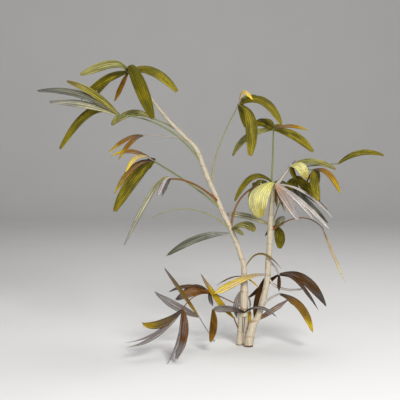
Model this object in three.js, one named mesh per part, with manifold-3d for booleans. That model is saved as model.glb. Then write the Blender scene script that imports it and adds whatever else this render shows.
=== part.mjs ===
// Young lady palm: two leaning canes that rise from one foot, with fan fronds of arching,
// pleated leaflets, many of them yellowing or dried. Millimetres, +Z up, -Y is the front.
// The origin is the middle of the flat cut under the main cane, at ground level.

import * as THREE from 'three';
import { mergeVertices } from 'three/addons/utils/BufferGeometryUtils.js';
import Module from 'manifold-3d';

const wasm = await Module();
wasm.setup();

// Driving dimensions
const CLEARANCE = 0.3; // between a stalk and the cane or frond that it meets
const CANE_SIDES = 12;
const CANE_STEP = 42; // height of one length of cane
const LEAST_CANE_STEP = 7;
const HALVINGS = 30; // of a cane's curve, to find the middle at a height
const STALK_SIDES = 5;
const STALK_STEP = 24;
const BLADE_STEP = 30; // length of one stretch of a leaflet
const LEAST_BLADE_STEPS = 3;
const BLADE_THICKNESS = 2.2;
const BLADE_THICKNESS_SHARE = 0.0105; // of the leaflet's length, where that is thicker
const ROOT_SHARE = 0.3; // a leaflet's width at its root, as a share of its full width
const TIP_SHARE = 0.36; // and at its blunt, toothed tip
const WIDEST_AT = 0.45; // share of the length at which most leaflets are widest
const CLUBBED = 0.72; // and one that broadens towards its tip
const TIP_FALL = 1.4; // higher keeps the blade broad for longer before the tip
const KNOB_RADIUS = 4.2; // the knot at a stalk's end where the leaflets spread
const NECK = 11; // length of stalk that stays with its frond
const WELD = 0.001; // corners of a knot closer than this are one
const ALONG_X = 0.04; // squared sine under which a growth direction counts as running along X
const LEAF_ROUGHNESS = 0.6;
const UP = new THREE.Vector3(0, 0, 1);

// Colours of the sub-parts
const CREAM = 0xc2b495;
const OLIVE = 0x6f6b1c;
const PALE_GREEN = 0x9fa052;
const YELLOW = 0xc9a83a;
const RUST = 0x8a5a24;
const DRIED = 0x9d948f;

const vector = (list) => new THREE.Vector3(...list);

// Canes: each station gives [x, y, height, radius]
const MAIN_CANE = [
  [7.5, -1, 88, 12.6], [7.5, -1, 140, 12.2], [7.5, 0, 172, 11.2], [7.5, 1, 215, 8.6],
  [5, 2, 246, 8.2], [-20, 4, 321, 7.7], [-57, 7, 403, 7.5], [-104, 9, 510, 7.5],
  [-140, 8, 597, 6.9], [-172, 6, 630, 6], [-213, 4, 672, 4.9], [-263, 2, 732, 4.2],
  [-322, 0, 806, 3.6],
];
const LEFT_LOBE = [[-6, 0, 0, 10.5], [-5, 0, 34, 8.6], [-1.5, 0, 106, 8.2]];
const RIGHT_LOBE = [[10, -1, 0, 7.4], [11.5, -1, 34, 6.6], [15.5, -1, 106, 6]];
const RIGHT_CANE = [
  [19.6, -20.5, 0, 14.2], [26, -20, 34, 13.6], [35, -19, 70, 12.8], [43, -19, 79, 9.6],
  [54, -18, 104, 9], [64, -16, 138, 9], [71, -14, 172, 9], [77, -12, 205, 9.2],
  [78, -10, 232, 8.6], [84, -6, 321, 8.6], [86, -4, 387, 8], [91, -2, 450, 6.8],
  [93, 0, 486, 5.4],
];

// One leaflet. reach is its tip from the frond's knot: right, back and up. bend pulls its middle
// off the straight line: [share of the way out, how far up, how far right]. width is across the
// blade, roll turns its upper face to the front, in degrees, and widest is the share of the
// length at which it is broadest.
const leaflet = (reach, bend, width, roll = 0, widest = WIDEST_AT) => (
  { reach, bend, width, roll, widest });

// A stalk rises from a cane's middle at a height, or starts at a point, and bends the same way.
const stalk = (start, bend, radii, apart = true) => ({ start, bend, radii, apart });

class Limb {
  constructor(stations) {
    this.stations = stations;
    this.curve = new THREE.CatmullRomCurve3(
      stations.map(([x, y, z]) => new THREE.Vector3(x, y, z)), false, 'centripetal');
  }

  radiusAt(height) {
    const next = this.stations.findIndex(([, , z]) => z >= height);
    if (next === 0) return this.stations[0][3];
    if (next < 0) return this.stations.at(-1)[3];
    const [, , low, first] = this.stations[next - 1];
    const [, , high, last] = this.stations[next];
    return THREE.MathUtils.lerp(first, last, (height - low) / (high - low));
  }

  middleAt(height) {
    let low = 0;
    let high = 1;
    for (let turn = 0; turn < HALVINGS; turn += 1) {
      const half = (low + high) / 2;
      if (this.curve.getPoint(half).z < height) low = half;
      else high = half;
    }
    return this.curve.getPoint(low);
  }
}

const mainCane = new Limb(MAIN_CANE);
const rightCane = new Limb(RIGHT_CANE);
const onMain = (height) => mainCane.middleAt(height).toArray();
const onRight = (height) => rightCane.middleAt(height).toArray();

// Closed skin over rings of points that run round the limb's direction of growth
function skin(rings) {
  const sides = rings[0].length;
  const vertices = rings.flat().flatMap((point) => point.toArray());
  const triangles = [];
  for (let ring = 0; ring + 1 < rings.length; ring += 1) {
    for (let side = 0; side < sides; side += 1) {
      const next = (side + 1) % sides;
      const here = ring * sides;
      const there = here + sides;
      triangles.push(here + side, here + next, there + next);
      triangles.push(here + side, there + next, there + side);
    }
  }
  const last = (rings.length - 1) * sides;
  for (let side = 1; side + 1 < sides; side += 1) {
    triangles.push(0, side + 1, side);
    triangles.push(last, last + side, last + side + 1);
  }
  return solid(new Float32Array(vertices), new Uint32Array(triangles));
}

function solid(vertProperties, triVerts) {
  return new wasm.Manifold(new wasm.Mesh({ numProp: 3, vertProperties, triVerts }));
}

function ball(centre, radius) {
  const shape = new THREE.IcosahedronGeometry(radius, 0);
  shape.deleteAttribute('normal');
  shape.deleteAttribute('uv');
  const merged = mergeVertices(shape.translate(...centre), WELD);
  return solid(Float32Array.from(merged.attributes.position.array), Uint32Array.from(merged.index.array));
}

// A round section across the direction of growth, or level where a cut is level
function ringAt(centre, growth, radius, sides) {
  const across = new THREE.Vector3(1, 0, 0).cross(growth);
  if (across.lengthSq() < ALONG_X) across.set(0, 1, 0).cross(growth);
  across.normalize();
  const other = growth.clone().cross(across).normalize();
  return Array.from({ length: sides }, (_, side) => {
    const angle = (2 * Math.PI * side) / sides;
    return centre.clone()
      .addScaledVector(across, radius * Math.cos(angle))
      .addScaledVector(other, radius * Math.sin(angle));
  });
}

function caneSolid(limb, extra = 0) {
  const low = limb.stations[0][2];
  const high = limb.stations.at(-1)[2];
  const steps = Math.max(2, Math.round((high - low) / CANE_STEP));
  const heights = Array.from({ length: steps + 1 }, (_, step) => low + ((high - low) * step) / steps);
  const all = [...new Set([...heights, ...limb.stations.map(([, , z]) => z)])].sort((a, b) => a - b);
  const kept = all.filter((height, index) => index === 0 || height - all[index - 1] > LEAST_CANE_STEP);
  const rings = kept.map((height, index) => {
    const centre = limb.middleAt(height);
    const ahead = limb.middleAt(Math.min(height + 1, high)).sub(limb.middleAt(Math.max(height - 1, low)));
    const growth = index === 0 ? UP : ahead.normalize();
    if (index === kept.length - 1) centre.addScaledVector(growth, extra);
    return ringAt(centre, growth, limb.radiusAt(height) + extra, CANE_SIDES);
  });
  return skin(rings);
}

// The line from start to end whose middle is pulled by bend
function bentLine(start, end, [share, up, right = 0]) {
  const pull = start.clone().lerp(end, share).add(new THREE.Vector3(right, 0, up));
  return new THREE.QuadraticBezierCurve3(start, pull, end);
}

function stalkSolid(line, radii, from, to) {
  const length = line.getLength() * (to - from);
  const steps = Math.max(1, Math.round(length / STALK_STEP));
  const rings = Array.from({ length: steps + 1 }, (_, step) => {
    const along = from + ((to - from) * step) / steps;
    const radius = THREE.MathUtils.lerp(radii[0], radii[1], along);
    return ringAt(line.getPointAt(along), line.getTangentAt(along), radius, STALK_SIDES);
  });
  return skin(rings);
}

function bladeWidth(along, width, widest) {
  if (along < widest) {
    return width * THREE.MathUtils.lerp(ROOT_SHARE, 1, Math.sin((Math.PI / 2) * (along / widest)));
  }
  const beyond = ((along - widest) / (1 - widest)) ** TIP_FALL;
  return width * THREE.MathUtils.lerp(TIP_SHARE, 1, Math.cos((Math.PI / 2) * beyond));
}

// A thin blade along its bent midrib: four corners a section, thickest along the midrib
function bladeSolid(knot, { reach, bend, width, roll, widest }) {
  const line = bentLine(knot, knot.clone().add(vector(reach)), bend);
  const length = line.getLength();
  const thickness = Math.max(BLADE_THICKNESS, BLADE_THICKNESS_SHARE * length);
  const steps = Math.max(LEAST_BLADE_STEPS, Math.round(length / BLADE_STEP));
  const level = new THREE.Vector3(reach[1], -reach[0], 0).normalize();
  const turn = THREE.MathUtils.degToRad(reach[0] > 0 ? -roll : roll);
  const rings = Array.from({ length: steps + 1 }, (_, step) => {
    const along = step / steps;
    const centre = line.getPointAt(along);
    const growth = line.getTangentAt(along);
    const face = level.clone().cross(growth).normalize();
    const side = growth.clone().cross(face);
    const across = side.clone().multiplyScalar(Math.cos(turn)).addScaledVector(face, Math.sin(turn));
    const outward = face.multiplyScalar(Math.cos(turn)).addScaledVector(side, -Math.sin(turn));
    const half = bladeWidth(along, width, widest) / 2;
    return [
      centre.clone().addScaledVector(across, half),
      centre.clone().addScaledVector(outward, -thickness / 2),
      centre.clone().addScaledVector(across, -half),
      centre.clone().addScaledVector(outward, thickness / 2),
    ];
  });
  return skin(rings);
}

function joined(solids) {
  return solids.reduce((whole, next) => whole.add(next));
}

// Fronds, from the top of the plant down. Leaflets that reach far back fill the side away from
// the front.
const FRONDS = [
  {
    name: 'frond_top', colour: OLIVE, knot: [-339, -1, 822],
    stalk: stalk(onMain(790), [0.5, 0], [3.4, 3.2], false),
    leaflets: [
      leaflet([-138, -40, -10], [0.14, 56], 31, 60),
      leaflet([-145, 30, -81], [0.5, 36], 33, 55),
      leaflet([-35, -70, -88], [0.4, 14], 19),
      leaflet([77, -90, -139], [0.08, 84, -6], 41, 22),
      leaflet([148, -20, -60], [0.48, 65], 31, 58),
      leaflet([30, 170, -60], [0.5, 70], 27),
      leaflet([-112, 130, -72], [0.5, 50], 26),
    ],
  },
  {
    name: 'frond_left', colour: PALE_GREEN, knot: [-363, -60, 696],
    stalk: stalk(onMain(548), [0.5, 66, 30], [2.6, 2.2]),
    leaflets: [
      leaflet([-145, -50, 96], [0.45, 32], 28, 55),
      leaflet([-227, -80, 67], [0.45, 58], 28, 50),
      leaflet([-197, -50, 37], [0.45, 28], 31, 45),
      leaflet([-177, 20, -102], [0.5, 120, 4], 35, 52),
      leaflet([-18, -30, -28], [0.4, 10], 16),
      leaflet([-66, 110, 30], [0.5, 14], 24),
    ],
  },
  {
    name: 'frond_upper_inner', colour: PALE_GREEN, knot: [-267, 25, 684],
    stalk: stalk(onMain(650), [0.5, 6], [3, 2.4]),
    leaflets: [
      leaflet([-124, -15, -20], [0.5, 58], 27, 48),
      leaflet([-35, 130, 10], [0.5, 30], 24),
    ],
  },
  {
    name: 'frond_twisted', colour: YELLOW, knot: [-295, 20, 634],
    stalk: stalk(onMain(622), [0.5, 8], [2.2, 1.6]),
    leaflets: [
      leaflet([-105, -20, -52], [0.45, 32], 17, 38),
      leaflet([-74, -40, -73], [0.45, 30, -8], 19, 20),
      leaflet([-72, 50, -60], [0.45, 30], 15),
    ],
  },
  {
    name: 'frond_left_middle', colour: OLIVE, knot: [-262, -50, 560],
    stalk: stalk(onMain(416), [0.5, 14], [3.4, 2.2]),
    leaflets: [
      leaflet([-125, -30, 14], [0.5, 48], 16, 40),
      leaflet([-77, -80, -29], [0.62, 66], 19, 20),
      leaflet([-114, -36, -94], [0.5, 66], 20, 48),
      leaflet([-110, -92, -141], [0.5, 42, -4], 39, 28),
      leaflet([-78, 110, -70], [0.5, 50], 26),
      leaflet([-20, 120, -30], [0.5, 40], 24),
    ],
  },
  {
    name: 'frond_folded', colour: DRIED, knot: [-210, -100, 511],
    stalk: stalk(onMain(436), [0.55, 34], [3.6, 2.4]),
    leaflets: [
      leaflet([-131, -90, -183], [0.3, 98, 12], 15, 35),
      leaflet([-38, -30, -47], [0.55, 46], 26),
      leaflet([-30, 90, -60], [0.5, 30], 14),
    ],
  },
  {
    name: 'frond_broken', colour: PALE_GREEN, knot: [-262, -150, 403],
    stalk: stalk(onMain(352), [0.5, 84], [2.4, 1], false),
    leaflets: [],
  },
  {
    name: 'frond_grey_left', colour: DRIED, knot: [-33, 0, 340], stalk: null,
    leaflets: [leaflet([-193, -89, -57], [0.5, 44], 25, 45)],
  },
  {
    name: 'frond_yellow_centre', colour: YELLOW, knot: [-11, -20, 726],
    stalk: stalk(onMain(478), [0.28, 20, -31], [2.4, 1.7]),
    leaflets: [
      leaflet([40, -14, 13], [0.12, 68], 18, 40),
      leaflet([124, -30, -58], [0.6, 88], 28, 58),
      leaflet([30, -72, -150], [0.36, 40, 42], 38),
      leaflet([25, 120, -70], [0.5, 50], 26),
      leaflet([60, 110, 25], [0.5, 30], 24),
    ],
  },
  {
    name: 'frond_right_top', colour: OLIVE, knot: [94, 10, 652],
    stalk: stalk([87, 4, 478], [0.3, 0, 3], [3, 2.2]),
    leaflets: [
      leaflet([-57, 12, 8], [0.66, 36], 30, 60),
      leaflet([-122, 0, -80], [0.75, 62], 23, 55),
      leaflet([115, -40, -66], [0.55, 36], 28, 55),
      leaflet([107, 8, -4], [0.45, 28], 17, 45),
      leaflet([40, 120, 0], [0.5, 30], 24),
      leaflet([-30, 120, 20], [0.5, 40], 26),
    ],
  },
  {
    name: 'frond_right_upper', colour: PALE_GREEN, knot: [145, -14, 545],
    stalk: stalk([96, 0.3, 476], [0.5, 0], [5, 4.8], false),
    leaflets: [
      leaflet([40, -40, -38], [0.85, 48], 35, 32),
      leaflet([14, -14, -42], [0.5, 0], 24),
      leaflet([15, 3, 16], [0.5, 0], 13, 45),
      leaflet([140, 34, -13], [0.5, 38], 23, 52),
      leaflet([60, 120, -14], [0.5, 20], 24),
    ],
  },
  {
    name: 'frond_far_right', colour: OLIVE, knot: [294, 42, 548],
    stalk: stalk([140.8, -6.2, 537], [0.5, 2], [2, 1.6], false),
    leaflets: [
      leaflet([142, 20, 24], [0.45, 45], 20, 58),
      leaflet([70, 140, 24], [0.5, 6], 16),
    ],
  },
  {
    name: 'frond_right_hanging', colour: YELLOW, knot: [208, -42, 533],
    stalk: stalk([152.6, -7.8, 537.4], [0.5, 4], [1.8, 1.5], false),
    leaflets: [
      leaflet([10, -50, -87], [0.5, 22, -8], 28),
      leaflet([80, -20, -70], [0.6, 60], 19, 50),
      leaflet([-22, 6, -42], [0.5, 10], 17, 20),
      leaflet([28, 110, -50], [0.5, 40], 22),
    ],
  },
  {
    name: 'frond_right_inner', colour: OLIVE, knot: [158, 4, 506],
    stalk: stalk(onRight(321), [0.3, 60, -6], [2.2, 1.6], false),
    leaflets: [
      leaflet([76, 4, -71], [0.5, 18], 33, 70),
      leaflet([-22, -6, -36], [0.5, 8], 26, 55),
      leaflet([14, -6, -44], [0.5, 0], 22),
      leaflet([40, 110, -40], [0.5, 40], 26),
    ],
  },
  {
    name: 'frond_crown_broad', colour: PALE_GREEN, knot: [90, -12, 496],
    stalk: stalk(onRight(474), [0.5, 0], [2.6, 2.6], false),
    leaflets: [
      leaflet([-40, -100, -97], [0.5, 26, -46], 62),
      leaflet([-114, -28, -56], [0.55, 90, -2], 19, 50),
    ],
  },
  {
    name: 'frond_crown_dried', colour: DRIED, knot: [100, -15, 489],
    stalk: stalk(onRight(474), [0.5, 0], [2.2, 2.2], false),
    leaflets: [
      leaflet([61, -104, -101], [0.5, 16], 33),
      leaflet([107, -76, -100], [0.5, 26], 15, 20),
      leaflet([155, -54, -131], [0.5, 36], 17, 42),
      leaflet([173, -22, -105], [0.5, 58], 10, 50),
    ],
  },
  {
    name: 'frond_crown_shaded', colour: OLIVE, knot: [98, 15, 492],
    stalk: stalk(onRight(472), [0.5, 0], [2.2, 2.2], false),
    leaflets: [
      leaflet([164, 22, -84], [0.5, 34], 22, 50),
      leaflet([164, 4, -124], [0.5, 44], 22, 50),
      leaflet([11, 34, -78], [0.5, 0], 12),
      leaflet([36, 26, -92], [0.5, 0], 12),
      leaflet([70, 130, -60], [0.5, 50], 26),
    ],
  },
  {
    name: 'frond_behind_crown', colour: PALE_GREEN, knot: [45, 60, 478],
    stalk: stalk(onMain(352), [0.14, 82, -3], [3.2, 2.6]),
    leaflets: [
      leaflet([10, 150, -40], [0.5, 50], 26),
      leaflet([-10, 110, -70], [0.5, 40], 26),
      leaflet([46, 120, -20], [0.5, 50], 24),
    ],
  },
  {
    name: 'frond_between', colour: PALE_GREEN, knot: [80, -5, 368], stalk: null,
    leaflets: [leaflet([-140, 32, 26], [0.5, 26], 20, 60)],
  },
  {
    name: 'frond_curled', colour: YELLOW, knot: [-31, -3, 356], stalk: null,
    leaflets: [
      leaflet([67, -46, -5], [0.72, 38], 26, 45, CLUBBED),
      leaflet([34, -28, -18], [0.5, 12], 18, 20),
    ],
  },
  {
    name: 'frond_hanging_middle', colour: OLIVE, knot: [102, 16, 361],
    stalk: stalk(onRight(352), [0.5, 0], [2.4, 2.2], false),
    leaflets: [
      leaflet([10, -26, -66], [0.5, 14, 16], 35),
      leaflet([28, 8, 27], [0.5, 0], 27, 66),
      leaflet([-30, 22, -34], [0.5, 16], 24, 10),
    ],
  },
  {
    name: 'frond_long_strip', colour: DRIED, knot: [238.7, -30, 360],
    stalk: stalk(onRight(345), [0.5, 73, 16], [2, 1.5], false),
    leaflets: [leaflet([66.5, -30, -160.4], [0.5, 0], 9, 40, 0.6)],
  },
  {
    name: 'frond_arched_strip', colour: RUST, knot: [10, -3, 236], stalk: null,
    leaflets: [leaflet([107, -34, 2], [0.36, 90], 8, 35)],
  },
  {
    name: 'frond_right_low', colour: RUST, knot: [111, -18, 219],
    stalk: stalk(onRight(254), [0.5, 18], [3.4, 2.6], false),
    leaflets: [
      leaflet([139, -42, -91], [0.6, 76], 31, 45),
      leaflet([110, -82, -95], [0.5, 64], 14, 20),
      leaflet([-1, -20, -49], [0.5, 6], 11),
      leaflet([-92, 84, -90], [0.5, 8], 26, 40),
      leaflet([60, 110, -22], [0.5, 6], 20),
    ],
  },
  {
    name: 'frond_brown_blade', colour: RUST, knot: [76, -3, 212], stalk: null,
    leaflets: [leaflet([-37, 8, -144], [0.5, 14, -19], 17, 80)],
  },
  {
    name: 'frond_yellow_left', colour: YELLOW, knot: [72, -19, 217], stalk: null,
    leaflets: [leaflet([-156, -54, -48], [0.3, 30], 25, 45, CLUBBED)],
  },
  {
    name: 'frond_thin_right', colour: DRIED, knot: [80, -17, 212], stalk: null,
    leaflets: [leaflet([101, -33, -31], [0.2, -42], 14, 30, 0.3)],
  },
  {
    name: 'frond_small_yellow', colour: YELLOW, knot: [13, -3, 205], stalk: null,
    leaflets: [leaflet([38, -25, -26], [0.5, 8], 6, 30)],
  },
  {
    name: 'frond_thin_arc', colour: RUST, knot: [3, 2, 210], stalk: null,
    leaflets: [leaflet([-78, 18, -32], [0.5, 18], 7, 30)],
  },
  {
    name: 'frond_yellow_rising', colour: YELLOW, knot: [-23, -18, 86],
    stalk: stalk([-6, -2, 46], [0.5, 0, -4], [1.8, 1.8], false),
    leaflets: [leaflet([-101, -62, 145], [0.5, -16], 19, 75, 0.35)],
  },
  {
    name: 'frond_low_pair', colour: DRIED, knot: [8, -17, 104], stalk: null,
    leaflets: [
      leaflet([-98, -73, 22], [0.5, 16], 24, 50, CLUBBED),
      leaflet([95, -43, -8], [0.5, 46], 14, 35),
    ],
  },
  {
    name: 'frond_low_hanging', colour: RUST, knot: [-88.2, -93, 127.2], stalk: null,
    leaflets: [leaflet([-8, -22, -94], [0.5, 0, 9], 24)],
  },
  {
    name: 'frond_left_low', colour: RUST, knot: [-98, -10, 164],
    stalk: stalk(onMain(112), [0.5, 4], [1.6, 1.6]),
    leaflets: [
      leaflet([-122, -10, 1], [0.5, 40], 17, 40),
      leaflet([-102, -36, -19], [0.5, 28], 28, 45),
      leaflet([10, -30, -38], [0.5, 0], 15),
      leaflet([-90, 70, -20], [0.5, 50], 18),
    ],
  },
  {
    name: 'frond_left_front', colour: DRIED, knot: [-177, -150, 138],
    stalk: stalk([-100.5, -16.6, 160.6], [0.5, 26, -10], [1.5, 1.5]),
    leaflets: [
      leaflet([-115, -40, -30], [0.55, -36], 30, 28, CLUBBED),
      leaflet([-157, -65, -95], [0.5, -44], 17, 20),
      leaflet([-162, -50, -85], [0.5, -42], 8, 20),
      leaflet([-17, -85, -126], [0.5, 10, 22], 29),
      leaflet([-41, -95, -137], [0.5, 0, 24], 12),
    ],
  },
  {
    name: 'frond_left_pair', colour: DRIED, knot: [-130, -44, 97],
    stalk: stalk([-82, 45, 1.8], [0.5, -4], [1.6, 1.6]),
    leaflets: [
      leaflet([-100, -76, 158], [0.5, 0, 6], 19, 62),
      leaflet([-129, -80, 88], [0.5, -5], 32, 50),
    ],
  },
  {
    name: 'frond_right_foot', colour: YELLOW, knot: [113, -24, 161],
    stalk: stalk(onRight(128), [0.5, 6], [4, 2.4], false),
    leaflets: [
      leaflet([93, -66, -105], [0.7, 62, 9], 26, 28),
      leaflet([60, 90, -60], [0.5, 20], 20),
    ],
  },
  {
    name: 'frond_rust_foot', colour: RUST, knot: [42, -17, 78], stalk: null,
    leaflets: [leaflet([96, -12, 66], [0.5, 0], 18, 60)],
  },
  {
    name: 'frond_foot_shoot', colour: YELLOW, knot: [20, -4, 62], stalk: null,
    leaflets: [leaflet([6, 12, 46], [0.5, 0], 13, 0)],
  },
  {
    name: 'sheath_left', colour: DRIED, knot: [0, -3, 166], stalk: null,
    leaflets: [leaflet([-14, -8, -84], [0.5, 0, -16], 19, 75)],
  },
  {
    name: 'sheath_right', colour: DRIED, knot: [13, -6, 158], stalk: null,
    leaflets: [leaflet([8, -4, -52], [0.5, 0, 16], 6, 80)],
  },
];

const cutMain = caneSolid(mainCane, CLEARANCE);
const cutRight = caneSolid(rightCane, CLEARANCE);
const cutLobes = [LEFT_LOBE, RIGHT_LOBE].map((stations) => caneSolid(new Limb(stations), CLEARANCE));

// A stalk or leaflet that grows from a cane starts 0.3 mm off the cane's surface
function clearOfCanes(shape) {
  return [cutMain, cutRight, ...cutLobes].reduce((rest, cane) => rest.subtract(cane), shape);
}

const group = new THREE.Group();

function addNode(name, shape, colour) {
  const { vertProperties, triVerts } = shape.getMesh();
  const geometry = new THREE.BufferGeometry();
  geometry.setAttribute('position', new THREE.BufferAttribute(vertProperties, 3));
  geometry.setIndex(new THREE.BufferAttribute(triVerts, 1));
  geometry.computeVertexNormals();
  const material = new THREE.MeshStandardMaterial({ color: colour, roughness: LEAF_ROUGHNESS, metalness: 0 });
  const mesh = new THREE.Mesh(geometry, material);
  mesh.name = name;
  group.add(mesh);
}

function addCanes() {
  const lobes = [LEFT_LOBE, RIGHT_LOBE].map((stations) => caneSolid(new Limb(stations)));
  addNode('cane_left', joined([caneSolid(mainCane), ...lobes]), CREAM);
  addNode('cane_right', caneSolid(rightCane), CREAM);
}

function addFrond({ name, colour, knot, stalk: own, leaflets }) {
  const centre = vector(knot);
  const blades = leaflets.map((one) => bladeSolid(centre, one));
  const parts = own === null ? blades : [...blades, ball(knot, leaflets.length ? KNOB_RADIUS : own.radii[1])];
  if (own !== null) {
    const line = bentLine(vector(own.start), centre, own.bend);
    const length = line.getLength();
    const neckAt = own.apart ? 1 - NECK / length : 0;
    parts.push(stalkSolid(line, own.radii, neckAt, 1));
    if (own.apart) {
      const stem = stalkSolid(line, own.radii, 0, neckAt - CLEARANCE / length);
      addNode(name.replace('frond', 'stalk'), clearOfCanes(stem), colour);
    }
  }
  if (own === null && leaflets.length > 1) parts.push(ball(knot, KNOB_RADIUS));
  addNode(name, clearOfCanes(joined(parts)), colour);
}

addCanes();
FRONDS.forEach(addFrond);

export default group;
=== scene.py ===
"""Dressed model of a young lady palm: two fibrous canes with fan fronds of pleated leaflets."""

import logging
import math
import random
from collections.abc import Callable
from dataclasses import dataclass
from enum import Enum

import bmesh
import bpy
from mathutils import Euler, Matrix, Vector, noise


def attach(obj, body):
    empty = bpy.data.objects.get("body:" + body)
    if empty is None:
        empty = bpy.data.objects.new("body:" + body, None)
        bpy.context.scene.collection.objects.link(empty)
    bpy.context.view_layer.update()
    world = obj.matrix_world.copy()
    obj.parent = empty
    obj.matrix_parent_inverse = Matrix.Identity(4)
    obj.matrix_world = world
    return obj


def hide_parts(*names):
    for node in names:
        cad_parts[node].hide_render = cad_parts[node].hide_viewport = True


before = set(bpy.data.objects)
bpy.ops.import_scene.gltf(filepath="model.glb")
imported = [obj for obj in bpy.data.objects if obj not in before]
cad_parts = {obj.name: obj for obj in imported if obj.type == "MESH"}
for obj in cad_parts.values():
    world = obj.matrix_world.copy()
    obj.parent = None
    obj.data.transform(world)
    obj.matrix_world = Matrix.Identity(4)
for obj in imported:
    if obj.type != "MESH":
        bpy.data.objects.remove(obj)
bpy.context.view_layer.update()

LOG = logging.getLogger("lady_palm")
BODY = "root"
MM = 0.001
UP = Vector((0.0, 0.0, 1.0))

# The rule of a leaflet's shape, as in the solids
ROOT_SHARE = 0.3
TIP_SHARE = 0.36
WIDEST_AT = 0.45
CLUBBED = 0.72
TIP_FALL = 1.4
CURVE_SAMPLES = 160

# Finer leaflet, in millimetres and shares of its length
PLEAT_WIDTH = 6.2
PLEAT_DEPTH = 1.5
COLUMNS_IN_PLEAT = 4
ROW_LENGTH = 5.0
BLADE_THICKNESS = 0.55
POINT_FROM = 0.7
LEAST_POINT = 0.25
SLENDER = 12.0
BROAD = 30.0
SEED_STEP = 0.37

# Squared sine below which a limb counts as lying along X
NEARLY_ALONG_X = 0.04

# Names of the UV map and of the values that every mesh carries
UV_NAME = "Blade"
RIDGE_NAME = "ridge"
SEED_NAME = "leaf_seed"

NUMBER = "NodeSocketFloat"
COLOUR = "NodeSocketColor"
VECTOR = "NodeSocketVector"

Triple = tuple[float, float, float]
Place = Callable[[float, float], Vector]
Socket = bpy.types.NodeSocket
Sockets = bpy.types.bpy_prop_collection


class Slot(Enum):
    """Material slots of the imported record."""

    CANE = "cane"
    OLIVE = "olive_leaf"
    PALE = "pale_leaf"
    YELLOW = "yellow_leaf"
    RUST = "rust_leaf"
    DRIED = "dried_leaf"


@dataclass(frozen=True)
class Carriage:
    """How far a habit bends a blade away from the plain rule.

    Attributes:
        crown: how far the edges fall, as a share of the half width.
        pleat: depth of a pleat beside the full depth.
        twist: largest turn of the blade about its midrib, in degrees.
        ripple: waviness of the edges, in millimetres.
        ragged: how deep the tip is toothed, as a share of the length.
        point: how far the tip narrows to a point, as a share of its width.
    """

    crown: float
    pleat: float
    twist: float
    ripple: float
    ragged: float
    point: float


class Habit(Enum):
    """How a leaflet holds itself as it ages."""

    LIVE = Carriage(crown=0.22, pleat=1.0, twist=6.0, ripple=0.3, ragged=0.03, point=0.1)
    LIMP = Carriage(crown=0.34, pleat=0.8, twist=11.0, ripple=0.7, ragged=0.045, point=0.5)
    DRY = Carriage(crown=0.52, pleat=0.6, twist=16.0, ripple=1.3, ragged=0.06, point=0.6)
    BLUNT = Carriage(crown=0.45, pleat=0.6, twist=12.0, ripple=1.3, ragged=0.07, point=0.12)


def paint(screen: Triple) -> tuple[float, float, float, float]:
    """Turn a screen colour into the linear colour that shaders take.

    Args:
        screen: red, green and blue, 0 to 255.

    Returns:
        Linear red, green, blue and a full alpha.
    """
    linear = []
    for value in screen:
        share = value / 255.0
        linear.append(share / 12.92 if share <= 0.04045 else ((share + 0.055) / 1.055) ** 2.4)
    return linear[0], linear[1], linear[2], 1.0


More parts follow.
